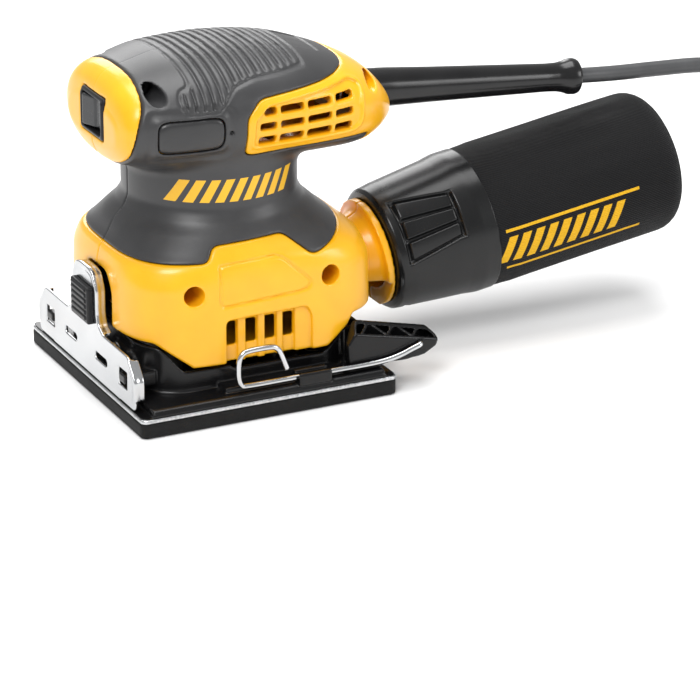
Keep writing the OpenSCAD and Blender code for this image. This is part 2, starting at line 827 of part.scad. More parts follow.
// Step along the front and rear edges, where the clamps press the paper
module paper_ledges() {
  for (x = [-1, 1]) translate([x > 0 ? pad_l / 2 - 5 : -pad_l / 2 - 1, -pad_w / 2 - 1, z_ledge])
    cube([6, pad_w + 2, 4]);
}

// Cheek that carries the rear pivot
module rear_cheek() {
  x0 = pad_l / 2;
  translate([0, cheek_y + cheek_w, 0]) rotate([90, 0, 0]) linear_extrude(cheek_w) polygon([
    [x0 - 20, z_deck - 1], [x0 - 6, z_deck - 1], [x0 - 4, z_deck + 1], [x0 + 6, z_deck + 0.6],
    [x0 + 14, z_deck + 1.4], [x0 + 19.5, z_deck + 5], [x0 + 20, z_deck + 8], [x0 + 17, z_deck + 11.5],
    [x0 + 8, z_deck + 12.4], [x0 - 10, z_deck + 16], [x0 - 14, z_deck + 16], [x0 - 18, z_deck + 8]]);
}

// Clip moulded on the side, which the lever wire drops into from above
module lever_clip() {
  difference() {
    translate([12, -pad_w / 2 + 0.3, z_deck - 0.5]) cube([14, 8, 5]);
    translate([11, -lever_y - wire_d / 2 - free_gap, lever_z - wire_d / 2 - free_gap])
      cube([16, wire_d + 2 * free_gap, 10]);
  }
}

module platen() {
  tub_l = pad_l - 20;
  tub_w = pad_w - 26;
  color("#161618") difference() {
    union() {
      translate([0, 0, z_base]) true_plate(pad_l - 0.6, pad_w - 0.6, pad_r, base_t);
      translate([0, 0, z_deck - eps]) difference() {
        true_plate(tub_l, tub_w, 18, 6.4);
        translate([0, 0, 2]) true_plate(tub_l - 6, tub_w - 6, 15, 10);
      }
      // Hub round the pad bearing
      translate([0, 0, z_deck - eps]) cylinder(h = z_hub - z_deck + eps, d = pad_bearing_d + 8, $fn = 96);
      // Seats of the rubber legs
      for (x = [-1, 1], y = [-1, 1]) translate([x * leg_x + motor_x, y * leg_y, z_deck - eps])
        cylinder(h = z_leg - z_deck + eps, d = leg_d + 2, $fn = 48);
      // Front block, and the lugs that the clamp hangs on
      translate([-pad_l / 2 + 7, -42, z_deck - eps]) difference() {
        cube([9, 84, 14]);
        translate([3, 3, 2]) cube([10, 78, 20]);
        translate([-1, 42 - tongue_w / 2 - 2, 8]) cube([20, tongue_w + 4, 20]);
      }
      for (y = [-1, 1]) translate([clamp_x - 0.4, y * lug_y - lug_w / 2, clamp_z - lug_h / 2])
        cube([8, lug_w, lug_h]);
      // Rear block and cheeks
      translate([pad_l / 2 - 16, -42, z_deck - eps]) difference() {
        cube([9, 84, 14]);
        translate([-1, 3, 2]) cube([7, 78, 20]);
      }
      both_sides() rear_cheek();
      lever_clip();
    }
    paper_ledges();
    // Seat of the pad bearing, and room for its screw below
    translate([0, 0, z_bearing]) cylinder(h = 30, d = pad_bearing_d, $fn = 96);
    translate([0, 0, z_base - 1]) cylinder(h = 10, d = pad_bearing_d - 6, $fn = 96);
    dust_bores(z_base - 1, 8, dust_d);
    // Bore for the lever wire
    translate([rear_pivot_x, 0, rear_pivot_z]) rotate([90, 0, 0])
      cylinder(h = pad_w + 20, d = wire_d + 2 * run_gap, center = true, $fn = 48);
    for (x = [-1, 1], y = [-1, 1]) translate([x * leg_x + motor_x, y * leg_y, z_base - 1])
      cylinder(h = 20, d = 4.1, $fn = 32);
  }
}

module pad_bearing() {
  color("silver") translate([0, 0, z_bearing])
    ring(pad_bearing_d, journal_d + 2 * run_gap, pad_bearing_h);
}

module backing_plate() {
  color("#c4c6c8") difference() {
    translate([0, 0, z_plate]) true_plate(pad_l, pad_w, pad_r, plate_t);
    dust_bores(z_plate - 1, plate_t + 2, dust_d);
  }
}

module foam_pad() {
  color("#151515") difference() {
    true_plate(pad_l, pad_w, pad_r, foam_t);
    dust_bores(-1, foam_t + 2, dust_d);
  }
}

// Screws up through the platen into the rubber legs
module platen_screws() {
  color("silver") for (x = [-1, 1], y = [-1, 1]) translate([x * leg_x + motor_x, y * leg_y, z_base])
    cylinder(h = z_leg - z_base, d = 4, $fn = 32);
}

// ---------- paper clamps ----------

spring_z = clamp_z + 5.5;
module front_clamp_spring() {
  color("silver") for (y = [-20, 20]) translate([clamp_x + clamp_t + 0.2, y, spring_z]) rotate([0, 90, 0])
    bar_along(helix(2.2, 6 - clamp_t - free_gap, 3, 0.6), 0.6, 6);
}

// Outline of the clamp plate, seen from the front: y across, z up
module clamp_outline() {
  half = clamp_w / 2;
  difference() {
    union() {
      polygon([[-half, z_ledge + free_gap], [half, z_ledge + free_gap], [half, 21], [half - 7, 28.4],
        [tongue_w / 2 + 6, 28.4], [tongue_w / 2, 32], [tongue_w / 2, tongue_top - 9],
        [-tongue_w / 2, tongue_top - 9], [-tongue_w / 2, 32], [-tongue_w / 2 - 6, 28.4],
        [-half + 7, 28.4], [-half, 21]]);
      for (y = [-1, 1]) translate([y * (tongue_w / 2 - 9), tongue_top - 9]) circle(9, $fn = 32);
      translate([-tongue_w / 2 + 9, tongue_top - 9]) square([tongue_w - 18, 9]);
    }
    for (y = [-1, 1]) {
      translate([y * lug_y - hole_w / 2, clamp_z - hole_h / 2]) square([hole_w, hole_h]);
      translate([y * 15.3 - 6, clamp_z - 1.4]) square([12, 2.8]);
    }
  }
}

module front_clamp_plate() {
  half = clamp_w / 2;
  color("#d8dadc") {
    translate([clamp_x, 0, 0]) rotate([90, 0, 90]) linear_extrude(clamp_t) clamp_outline();
    // Ends bent back round the corners
    for (y = [-1, 1]) translate([clamp_x, y > 0 ? half - clamp_t : -half, 12.5])
      cube([4.2, clamp_t, 10]);
    // Lip that holds the paper down
    translate([clamp_x, -34, z_ledge + free_gap]) cube([2.5, 68, clamp_t]);
  }
}

module front_clamp_grip() {
  color("#1a1a1c") translate([clamp_x, 0, 37.5]) rotate([0, -90, 0]) true_plate(15, 17.4, 2, 3);
}

module rear_clamp_jaw() {
  half = cheek_y - 0.6;
  ear_w = 2.6;
  x0 = pad_l / 2;
  z0 = z_ledge + free_gap;
  tube = wire_d + 3;
  color("#d8dadc") difference() {
    union() {
      translate([x0 - 3.6, -half, z0]) cube([12.6, 2 * half, clamp_t]);
      both_sides() translate([0, half, 0]) rotate([90, 0, 0]) linear_extrude(ear_w) polygon([
        [x0 + 7, z0], [x0 + 9, z0], [rear_pivot_x + tube / 2, rear_pivot_z],
        [rear_pivot_x + tube / 2 - clamp_t, rear_pivot_z + 0.6], [x0 + 7, z0 + clamp_t]]);
      both_sides() translate([rear_pivot_x, half, rear_pivot_z]) rotate([90, 0, 0])
        cylinder(h = ear_w, d = tube, $fn = 48);
    }
    translate([rear_pivot_x, 0, rear_pivot_z]) rotate([90, 0, 0])
      cylinder(h = 3 * half, d = wire_d + 2 * run_gap, center = true, $fn = 48);
  }
}

// Pin that carries the far ear of the rear clamp
module rear_clamp_pin() {
  color("silver") translate([rear_pivot_x, cheek_y - 4, rear_pivot_z]) rotate([-90, 0, 0])
    cylinder(h = cheek_w + 4, d = wire_d, $fn = 48);
}

// Bent wire: a stub through the near cheek and ear, and an arm that ends in a finger loop
module side_lever() {
  rod = lever_y - cheek_y + 4;
  color("#d0d2d4") {
    translate([rear_pivot_x, -lever_y, rear_pivot_z]) rotate([-90, 0, 0])
      cylinder(h = rod, d = wire_d, $fn = 48);
    bar_along(smooth([for (p = LEVER_PATH) [rear_pivot_x - p[0], -lever_y, lever_z + p[1]]], 3), wire_d, 8);
  }
}

// ---------- dust bag ----------

module bag_seal() {
  color("#39393b") on_spout() translate([0, 0, spout_l + free_gap])
    ring(spout_d + 4, spout_d - 8, seal_t);
}

module bag_collar() {
  seat = spout_l + free_gap;
  inner = bag_d / 2 - 3.4;
  color("#19191b") on_spout() rotate_extrude($fn = 96) polygon([
    [spout_r + free_gap, collar_gap], [collar_front_r - 2, collar_gap], [collar_front_r, collar_gap + 2.5],
    [collar_back_r - 1, collar_l - 12], [collar_back_r, collar_l - 6], [collar_back_r, collar_l],
    [inner, collar_l], [inner, seat + seal_t + 2.4], [spout_r - 3, seat + seal_t + 2.4],
    [spout_r - 3, seat + seal_t + free_gap], [spout_r + 2 + free_gap, seat + seal_t + free_gap],
    [spout_r + 2 + free_gap, seat - free_gap], [spout_r + free_gap, seat - free_gap]]);
}

module bag_ring() {
  inner = bag_d / 2 - 3.4;
  color("#2a2a2c") on_spout() translate([0, 0, collar_l - 7]) ring(2 * inner - 0.1, 2 * inner - 4, 6);
}

// Filled cloth bag, as a plain closed form
module dust_bag() {
  r = bag_d / 2;
  color("#121214") on_spout() translate([0, 0, collar_l]) rotate_extrude($fn = 96) polygon([
    [0, 0.1], [r - 1.2, 0.1], [r, 8], [r, bag_l - 12], [r - 1.6, bag_l - 6], [r - 6, bag_l - 1.5],
    [r - 12, bag_l], [0, bag_l]]);
}

// ---------- cord ----------

module cord() {
  color("#4a4a4c") {
    bar_along(smooth(CORD_PATH, 3), cord_d, 10);
    bar_along(smooth(PLUG_PATH, 2), cord_d, 10);
  }
}

module cord_coil() {
  half = coil_turns * cord_d / 2;
  color("#444446") translate([coil_x, coil_y, 0]) rotate_extrude($fn = 96)
    translate([coil_r - half, 0]) square([2 * half, 2 * half]);
}

module coil_tie() {
  half = coil_turns * cord_d / 2;
  t = 1;
  // Room for the coil's curve under the strap
  bow = 0.4;
  color("#101012") translate([coil_x, coil_y, 0]) rotate([0, 0, 60]) difference() {
    translate([coil_r - half - t - bow, -4, 0]) cube([2 * half + 2 * (t + bow), 8, 2 * half + 0.1 + t]);
    translate([coil_r - half - bow, -5, -1]) cube([2 * half + 2 * bow, 10, 2 * half + 1.1]);
  }
}

module plug_body() {
  w = 36;
  depth = 14;
  color("#1c1c1e") translate([plug_face_x, plug_y, plug_z - depth / 2]) {
    difference() {
      hull() {
        translate([0, -w / 2 + 6, 0]) cube([10, w - 12, depth]);
        for (y = [-1, 1]) translate([6, y * (w / 2 - 6), 0]) cylinder(h = depth, r = 6, $fn = 32);
        translate([26, -8, 0]) cube([6, 16, depth]);
      }
      translate([33.9, 0, depth / 2]) rotate([0, 90, 0]) cylinder(h = 5, d = cord_d, $fn = 32);
    }
    translate([31, 0, depth / 2]) rotate([0, 90, 0]) difference() {
      cylinder(h = 10, d = 11, $fn = 48);
      translate([0, 0, 3]) cylinder(h = 20, d = cord_d, $fn = 48);
    }
  }
}

module plug_pins() {
  color("silver") for (y = [-1, 1]) translate([plug_face_x, plug_y + y * pin_gap / 2, plug_z])
    rotate([0, -90, 0]) cylinder(h = pin_l, d = pin_d, $fn = 48);
}

housing_left();
housing_right();
grip_left();
grip_right();
side_inlays();
housing_screws();
switch_body();
switch_rocker();
cord_sleeve();
cord_inner_run();
cord_clamp();
cord_clamp_screws();
field_core();
field_coils();
brush_holders();
carbon_brushes();
brush_springs();
upper_bearing();
upper_bearing_boot();
lower_bearing();
fan_baffle();
capacitor();
motor_wires();
isolator_legs();
motor_shaft();
armature_core();
armature_windings();
commutator();
cooling_fan();
eccentric();
pad_screw();
platen();
pad_bearing();
backing_plate();
foam_pad();
platen_screws();
front_clamp_spring();
front_clamp_plate();
front_clamp_grip();
rear_clamp_jaw();
rear_clamp_pin();
side_lever();
bag_seal();
bag_collar();
bag_ring();
dust_bag();
cord();
cord_coil();
coil_tie();
plug_body();
plug_pins();
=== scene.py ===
"""Looks of the orbital sander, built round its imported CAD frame.

Lengths are in millimetres until a mesh is made.
"""
import json
import math

import bpy
import numpy as np
import openvdb
from mathutils import Matrix, Vector


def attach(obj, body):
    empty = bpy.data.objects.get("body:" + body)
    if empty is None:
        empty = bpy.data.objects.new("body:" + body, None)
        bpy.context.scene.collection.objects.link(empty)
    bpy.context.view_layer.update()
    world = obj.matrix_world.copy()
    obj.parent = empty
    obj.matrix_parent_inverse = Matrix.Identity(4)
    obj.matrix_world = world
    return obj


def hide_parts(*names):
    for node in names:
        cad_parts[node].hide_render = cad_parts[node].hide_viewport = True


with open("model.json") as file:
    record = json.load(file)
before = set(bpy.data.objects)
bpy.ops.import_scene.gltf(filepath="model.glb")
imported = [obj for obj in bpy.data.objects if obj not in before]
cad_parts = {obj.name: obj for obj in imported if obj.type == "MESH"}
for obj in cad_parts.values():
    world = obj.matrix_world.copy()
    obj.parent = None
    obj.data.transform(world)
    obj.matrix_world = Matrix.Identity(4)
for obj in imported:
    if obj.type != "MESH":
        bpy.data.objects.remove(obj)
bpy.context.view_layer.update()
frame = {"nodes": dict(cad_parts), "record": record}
MM = 0.001

# ---------------------------------------------------------------- measures shared with the CAD
PAD_L, PAD_W = 108.0, 115.0
Z_BASE, Z_DECK = 7.6, 10.6
SKIRT_FRONT = -48.5
HEAD_FRONT, HEAD_L, HEAD_W, HEIGHT, HEAD_H = -48.5, 121.5, 80.0, 135.8, 46.0
NECK_R = 34.4
TILT = math.radians(9)
SPOUT = np.array([70.0, 0.0, 38.0])
SPOUT_DIR = np.array([math.cos(TILT), 0.0, math.sin(TILT)])
SPOUT_UP = np.array([-math.sin(TILT), 0.0, math.cos(TILT)])
SPOUT_R, COLLAR_L, BAG_D, BAG_L = 17.5, 44.0, 59.0, 88.0
SLEEVE = np.array([75.6, 0.0, 105.8])
SLEEVE_DIR = np.array([math.cos(math.radians(4.9)), 0.0, -math.sin(math.radians(4.9))])
SLEEVE_R, SLEEVE_L, CORD_D = 7.8, 87.0, 6.3
# Screws that join the shells: x, height, depth of the well from the joint, and its radius
SCREWS = [(-34, 125.5, 12, 3.95), (58.6, 116.8, 6, 3.0), (-26, 49, 12, 3.95), (31, 49, 12, 3.95)]
SWITCH_Z = 112.5
CLAMP_X, CLAMP_T, CLAMP_Z, CLAMP_W = -53.4, 1.4, 18.0, 98.0
TONGUE_W, TONGUE_TOP = 24.0, 52.0
PIVOT = (66.0, 17.6)
LEVER_Y, LEVER_Z, WIRE_D = -53.9, 13.0, 2.2
LEGS = (31.0, 31.0)
ORBIT = 0.8
HOLE_RING, HOLE_R = 38.0, 4.5
LUG_Y = 37.0
PLUG = (194.0, -99.5, 7.5)
COIL_X, COIL_Y, COIL_R, COIL_TURN = 288.0, -62.0, 37.8, 330


# ---------------------------------------------------------------- smooth curves and distance fields
def curve(xs, ys, x):
    """Smooth curve through points that never overshoots them."""
    xs, ys = np.array(xs, float), np.array(ys, float)
    h, d = np.diff(xs), np.diff(ys) / np.diff(xs)
    m = np.zeros(len(xs))
    m[0], m[-1] = d[0], d[-1]
    for i in range(1, len(xs) - 1):
        if d[i - 1] * d[i] > 0:
            w1, w2 = 2 * h[i] + h[i - 1], h[i] + 2 * h[i - 1]
            m[i] = (w1 + w2) / (w1 / d[i - 1] + w2 / d[i])
    x = np.clip(x, xs[0], xs[-1])
    k = np.clip(np.searchsorted(xs, x) - 1, 0, len(xs) - 2)
    t = (x - xs[k]) / h[k]
    return (
        (1 + 2 * t) * (1 - t) ** 2 * ys[k] + t * (1 - t) ** 2 * h[k] * m[k]
        + t * t * (3 - 2 * t) * ys[k + 1] + t * t * (t - 1) * h[k] * m[k + 1]
    ).astype(np.float32)


class Grid:
    """Points of a box of space, spaced h apart, as three thin arrays."""

    def __init__(self, lo, hi, h):
        self.lo, self.h = np.array(lo, float), h
        n = [int(math.ceil((hi[i] - lo[i]) / h)) + 1 for i in range(3)]
        x, y, z = [(lo[i] + h * np.arange(n[i])).astype(np.float32) for i in range(3)]
        self.X, self.Y, self.Z = x[:, None, None], y[None, :, None], z[None, None, :]


def smin(a, b, k):
    """Union of two fields, blended over k."""
    h = np.maximum(k - np.abs(a - b), 0) / k
    return np.minimum(a, b) - h * h * k / 4


def smax(a, b, k):
    """Common part of two fields, blended over k."""
    return -smin(-a, -b, k)


def even(f, h):
    """A field scaled to be a true distance near its surface."""
    gx, gy, gz = np.gradient(f, h)
    return f / np.maximum(np.sqrt(gx * gx + gy * gy + gz * gz), 0.25)


def block(g, lo, hi, r):
    """Box with edges rounded by r."""
    q = [np.abs(v - (lo[i] + hi[i]) / 2) - (hi[i] - lo[i]) / 2 + r for i, v in enumerate((g.X, g.Y, g.Z))]
    outside = np.sqrt(sum(np.maximum(v, 0) ** 2 for v in q))
    return outside + np.minimum(np.maximum(np.maximum(q[0], q[1]), q[2]), 0) - r


def rod(g, p, d, r, a, b):
    """Cylinder from a to b along direction d from point p."""
    d = np.array(d, float) / np.linalg.norm(d)
    x, y, z = g.X - p[0], g.Y - p[1], g.Z - p[2]
    s = x * d[0] + y * d[1] + z * d[2]
    rad = np.sqrt(np.maximum(x * x + y * y + z * z - s * s, 0))
    return np.maximum(rad - r, np.maximum(a - s, s - b))


def along(g, p, d):
    """Place along a line and distance from it, for every cell."""
    x, y, z = g.X - p[0], g.Y - p[1], g.Z - p[2]
    s = x * d[0] + y * d[1] + z * d[2]
    return s, np.sqrt(np.maximum(x * x + y * y + z * z - s * s, 0))


def outline(pts, u, v, r=0.0):
    """Signed distance to a closed outline in the plane, with its corners rounded off by r."""
    pts = np.array(pts, float)
    d = np.full(np.broadcast(u, v).shape, 1e9, np.float32)
    s = np.ones_like(d)
    for i in range(len(pts)):
        a, b = pts[i], pts[(i + 1) % len(pts)]
        e = b - a
        wx, wy = u - a[0], v - a[1]
        t = np.clip((wx * e[0] + wy * e[1]) / (e @ e), 0, 1)
        d = np.minimum(d, (wx - e[0] * t) ** 2 + (wy - e[1] * t) ** 2)
        up = (v >= a[1]) & (v < b[1]) & (e[0] * wy < e[1] * wx)
        down = (v < a[1]) & (v >= b[1]) & (e[0] * wy > e[1] * wx)
        s = np.where(up | down, -s, s)
    d = np.sqrt(d) * s
    if r:
        step = float(abs((u.ravel()[1] - u.ravel()[0]) if u.size > 1 else 0.5))
        d = blur(blur(d, max(int(r / step), 1)), max(int(r / step), 1))
    return d


def blur(f, n):
    """Plain running mean of a plane field, over n cells each way, along both of its long axes."""
    for ax in [i for i in range(f.ndim) if f.shape[i] > 1]:
        p = np.concatenate([np.take(f, [0] * (n + 1), ax), f, np.take(f, [-1] * n, ax)], ax)
        c = np.cumsum(p, ax, dtype=np.float64)
        k = f.shape[ax]
        hi = np.take(c, np.arange(2 * n + 1, 2 * n + 1 + k), ax)
        lo = np.take(c, np.arange(0, k), ax)
        f = ((hi - lo) / (2 * n + 1)).astype(np.float32)
    return f


def side_view(g, pts, r):
    """Outline of (x, z) points, with corners rounded by r, carried through the grid from side to side."""
    return outline(pts, g.X[:, :, 0], g.Z[:, 0, :], r)[:, None, :]


def front_view(g, pts, r):
    """Outline of (y, z) points, carried through the grid from front to rear."""
    return outline(pts, g.Y[0], g.Z[0], r)[None]


def top_view(g, pts, r):
    """Outline of (x, y) points, carried through the grid from bottom to top."""
    return outline(pts, g.X[:, :, 0], g.Y[0].T, r)[:, :, None]


def step(d, w):
    """1 where d is below 0, and 0 above, with a soft edge of width w."""
    t = np.clip(0.5 - d / w, 0, 1)
    return t * t * (3 - 2 * t)


# ---------------------------------------------------------------- making pieces
def placed(name, data):
    """New object in the scene."""
    o = bpy.data.objects.new(name, data)
    bpy.context.scene.collection.objects.link(o)
    return o


def mesh_object(name, co, quads, tris):
    """Object from arrays of points, quads and triangles."""
    me = bpy.data.meshes.new(name)
    nq, nt = len(quads), len(tris)
    me.vertices.add(len(co))
    me.vertices.foreach_set("co", np.asarray(co, np.float32).ravel())
    me.loops.add(4 * nq + 3 * nt)
    idx = np.concatenate([np.asarray(quads).ravel(), np.asarray(tris).ravel()]).astype(np.int32)
    me.loops.foreach_set("vertex_index", idx)
    me.polygons.add(nq + nt)
    start = np.concatenate([4 * np.arange(nq), 4 * nq + 3 * np.arange(nt)]).astype(np.int32)
    me.polygons.foreach_set("loop_start", start)
    me.polygons.foreach_set("use_smooth", np.ones(nq + nt, bool))
    me.update(calc_edges=True)
    me.validate()
    return placed(name, me)


def solid(name, g, d, mirror=False, adapt=0.0):
    """Piece from a distance field. Mirrored pieces are reflected in the plane between the shells."""
    d = np.broadcast_to(d, (g.X.size, g.Y.size, g.Z.size))
    limit = 3 * g.h
    field = np.pad(np.clip(d, -limit, limit), 1, constant_values=limit)
    vdb = openvdb.FloatGrid(background=float(limit))
    vdb.copyFromArray(np.ascontiguousarray(field, np.float32))
    pts, tris, quads = vdb.convertToPolygons(isovalue=0.0, adaptivity=adapt)
    co = (pts * g.h + (g.lo - g.h)) * MM
    q, t = quads.reshape(-1, 4), tris.reshape(-1, 3)
    a, b, c = co[q[0][0]], co[q[0][1]], co[q[0][2]]
    n = np.cross(b - a, c - a)
    at = np.clip(((a + b + c) / 3 / MM - g.lo) / g.h, 1, np.array(d.shape) - 2).astype(int)
    i, j, k = at
    grad = np.array([
        d[i + 1, j, k] - d[i - 1, j, k],
        d[i, j + 1, k] - d[i, j - 1, k],
        d[i, j, k + 1] - d[i, j, k - 1],
    ])
    flip = float(n @ grad) < 0
    if mirror:
        co = co * np.array([1, -1, 1])
        flip = not flip
    if flip:
        q, t = q[:, ::-1], t[:, ::-1]
    return mesh_object(name, co, q, t)


def tube(name, pts, r, sides):
    """Round bar along a list of points, in millimetres."""
    p = np.array(pts, float)
    t = np.gradient(p, axis=0)
    t /= np.linalg.norm(t, axis=1)[:, None]
    s = np.cross(t[0], [0.01, 0.02, 1.0])
    s /= np.linalg.norm(s)
    verts, faces = [], []
    for i in range(len(p)):
        s = s - t[i] * (s @ t[i])
        s /= np.linalg.norm(s)
        u = np.cross(t[i], s)
        for k in range(sides):
            a = 2 * math.pi * k / sides
            verts.append((p[i] + r * (math.cos(a) * s + math.sin(a) * u)) * MM)
    for i in range(len(p) - 1):
        for k in range(sides):
            k2 = (k + 1) % sides
            faces.append((i * sides + k, i * sides + k2, (i + 1) * sides + k2, (i + 1) * sides + k))
    faces.append(tuple(range(sides - 1, -1, -1)))
    faces.append(tuple((len(p) - 1) * sides + k for k in range(sides)))
    me = bpy.data.meshes.new(name)
    me.from_pydata([tuple(v) for v in verts], [], faces)
    me.update()
    me.polygons.foreach_set("use_smooth", [True] * len(me.polygons))
    return placed(name, me)


def spline(pts, per):
    """Points on a smooth route through the given ones."""
    p = np.array(pts, float)
    out = []
    for i in range(len(p) - 1):
        a, b, c, d = p[max(i - 1, 0)], p[i], p[i + 1], p[min(i + 2, len(p) - 1)]
        for k in range(per):
            t = k / per
            square, cube = 2 * a - 5 * b + 4 * c - d, 3 * b - a - 3 * c + d
            out.append(0.5 * (2 * b + (c - a) * t + square * t * t + cube * t ** 3))
    out.append(p[-1])
    return np.array(out)


def lathe(name, profile, origin, axis, up, n, radius=None):
    """Closed surface turned from (place, radius) points. radius(s, r, angle) may change the radius."""
    side = np.cross(axis, up)
    prof = np.array(profile, float)
    ang = 2 * math.pi * np.arange(n) / n
    s = np.repeat(prof[:, 0][:, None], n, 1)
    r = np.repeat(prof[:, 1][:, None], n, 1)
    a = np.repeat(ang[None, :], len(prof), 0)
    if radius is not None:
        r = radius(s, r, a)
    spoke = np.cos(a)[..., None] * up + np.sin(a)[..., None] * side
    co = origin + s[..., None] * axis + r[..., None] * spoke
    m = len(prof)
    i, k = np.meshgrid(np.arange(m), np.arange(n), indexing="ij")
    j, k2 = (i + 1) % m, (k + 1) % n
    quads = np.stack([i * n + k, j * n + k, j * n + k2, i * n + k2], -1).reshape(-1, 4)
    return mesh_object(name, co.reshape(-1, 3) * MM, quads, np.zeros((0, 3), int))


def fine(profile, gap):
    """A profile with extra points, so that no two are further apart than gap."""
    out = []
    p = [np.array(q, float) for q in profile]
    for a, b in zip(p, p[1:] + p[:1]):
        n = max(int(math.ceil(np.linalg.norm(b - a) / gap)), 1)
        out += [a + (b - a) * i / n for i in range(n)]
    return np.array(out)


def fit(o, nodes, body, slot):
    """The piece stands for these CAD nodes, moves with the body and takes the slot's finish."""
    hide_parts(*nodes)
    o.data.materials.clear()
    o.data.materials.append(FINISH[slot])
    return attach(o, body)


# ---------------------------------------------------------------- finishes
def surface(name, dark, light, rough, metal=0.0, mottle=90.0, grain=(2500.0, 0.15, 0.05),
            coat=0.0, stretch=None, spec=0.5):
    """Two close shades in a soft mottle, an uneven gloss and a fine relief.

    rough is the least and most roughness, and grain is the relief's scale, strength and depth.
    """
    m = bpy.data.materials.new(name)
    m.use_nodes = True
    n, l = m.node_tree.nodes, m.node_tree.links
    b = n["Principled BSDF"]
    co = n.new("ShaderNodeTexCoord").outputs["Object"]
    fine_co = co
    if stretch:
        mp = n.new("ShaderNodeMapping")
        mp.inputs["Scale"].default_value = stretch
        l.new(co, mp.inputs["Vector"])
        fine_co = mp.outputs["Vector"]
    soft = n.new("ShaderNodeTexNoise")
    soft.inputs["Scale"].default_value = mottle
    soft.inputs["Detail"].default_value = 4.0
    l.new(co, soft.inputs["Vector"])
    ramp = n.new("ShaderNodeValToRGB")
    for element, place, shade in zip(ramp.color_ramp.elements, (0.3, 0.7), (dark, light)):
        element.position = place
        element.color = (*shade, 1)
    l.new(soft.outputs["Fac"], ramp.inputs["Fac"])
    l.new(ramp.outputs["Color"], b.inputs["Base Color"])
    gloss = n.new("ShaderNodeMapRange")
    gloss.inputs["To Min"].default_value = rough[0]
    gloss.inputs["To Max"].default_value = rough[1]
    l.new(soft.outputs["Fac"], gloss.inputs["Value"])
    l.new(gloss.outputs["Result"], b.inputs["Roughness"])
    small = n.new("ShaderNodeTexNoise")
    small.inputs["Scale"].default_value = grain[0]
    small.inputs["Detail"].default_value = 3.0
    l.new(fine_co, small.inputs["Vector"])
    bump = n.new("ShaderNodeBump")
    bump.inputs["Strength"].default_value = grain[1]
    bump.inputs["Distance"].default_value = grain[2] * MM
    l.new(small.outputs["Fac"], bump.inputs["Height"])
    l.new(bump.outputs["Normal"], b.inputs["Normal"])
    b.inputs["Metallic"].default_value = metal
    b.inputs["Specular IOR Level"].default_value = spec
    b.inputs["Coat Weight"].default_value = coat
    b.inputs["Coat Roughness"].default_value = 0.12
    return m


FINISH = {}


def finish(name, *shades, **looks):
    """Finish that a piece takes by the name of its slot."""
    FINISH[name] = surface(name, *shades, **looks)


finish("yellow_housing", (0.84, 0.40, 0.004), (0.88, 0.44, 0.006), (0.26, 0.34), grain=(1400, 0.10, 0.05),
       coat=0.15)
finish("grip_rubber", (0.030, 0.030, 0.0315), (0.038, 0.038, 0.0395), (0.34, 0.44),
       grain=(3200, 0.35, 0.08))
finish("inlay_rubber", (0.020, 0.020, 0.021), (0.027, 0.027, 0.028), (0.26, 0.34),
       grain=(3200, 0.3, 0.07))
finish("black_plastic", (0.006, 0.006, 0.0065), (0.010, 0.010, 0.011), (0.28, 0.40),
       grain=(1800, 0.2, 0.06), spec=0.3)
finish("rocker_plastic", (0.020, 0.021, 0.023), (0.028, 0.029, 0.031), (0.22, 0.30),
       grain=(1800, 0.1, 0.04))
finish("sleeve_rubber", (0.005, 0.005, 0.0055), (0.009, 0.009, 0.0095), (0.17, 0.25), mottle=60,
       grain=(900, 0.12, 0.08), spec=0.42)
finish("cord_rubber", (0.048, 0.049, 0.051), (0.062, 0.063, 0.066), (0.34, 0.44), mottle=120,
       grain=(1600, 0.2, 0.06))
finish("pale_plastic", (0.62, 0.62, 0.57), (0.70, 0.70, 0.64), (0.4, 0.5))
finish("bright_steel", (0.30, 0.305, 0.315), (0.40, 0.405, 0.415), (0.22, 0.34), metal=1.0,
       grain=(900, 0.2, 0.04), stretch=(1, 1, 12))
finish("dark_screw", (0.030, 0.030, 0.032), (0.050, 0.050, 0.053), (0.35, 0.45), metal=1.0)
finish("laminations", (0.16, 0.165, 0.18), (0.24, 0.245, 0.26), (0.35, 0.5), metal=1.0,
       grain=(300, 0.8, 0.2), stretch=(0.02, 0.02, 12))
finish("copper", (0.42, 0.15, 0.05), (0.60, 0.24, 0.09), (0.25, 0.4), metal=1.0, grain=(700, 0.7, 0.3))
finish("brass", (0.62, 0.42, 0.14), (0.72, 0.50, 0.20), (0.25, 0.35), metal=1.0)
finish("carbon", (0.020, 0.020, 0.021), (0.032, 0.032, 0.034), (0.55, 0.7))
finish("spring_steel", (0.40, 0.41, 0.43), (0.52, 0.53, 0.55), (0.2, 0.3), metal=1.0)
finish("capacitor_case", (0.50, 0.36, 0.02), (0.58, 0.42, 0.03), (0.3, 0.4))
finish("wire_insulation", (0.14, 0.05, 0.02), (0.18, 0.07, 0.03), (0.3, 0.4))
finish("leg_rubber", (0.008, 0.008, 0.008), (0.013, 0.013, 0.013), (0.5, 0.65))
finish("cast_alloy", (0.30, 0.31, 0.32), (0.40, 0.41, 0.43), (0.4, 0.55), metal=1.0,
       grain=(900, 0.6, 0.15))
finish("platen_plastic", (0.003, 0.003, 0.0034), (0.006, 0.006, 0.0064), (0.20, 0.30), mottle=70,
       grain=(1500, 0.22, 0.07), spec=0.3)
finish("plate_aluminium", (0.42, 0.43, 0.44), (0.68, 0.69, 0.70), (0.22, 0.42), metal=1.0, mottle=900,
       grain=(1300, 0.9, 0.12), stretch=(1, 1, 0.35))
finish("pad_foam", (0.004, 0.004, 0.004), (0.008, 0.008, 0.008), (0.5, 0.68), mottle=300,
       grain=(1500, 0.8, 0.18), spec=0.2)
finish("polished_steel", (0.50, 0.51, 0.52), (0.60, 0.61, 0.62), (0.16, 0.26), metal=1.0, mottle=40,
       grain=(500, 0.06, 0.05))
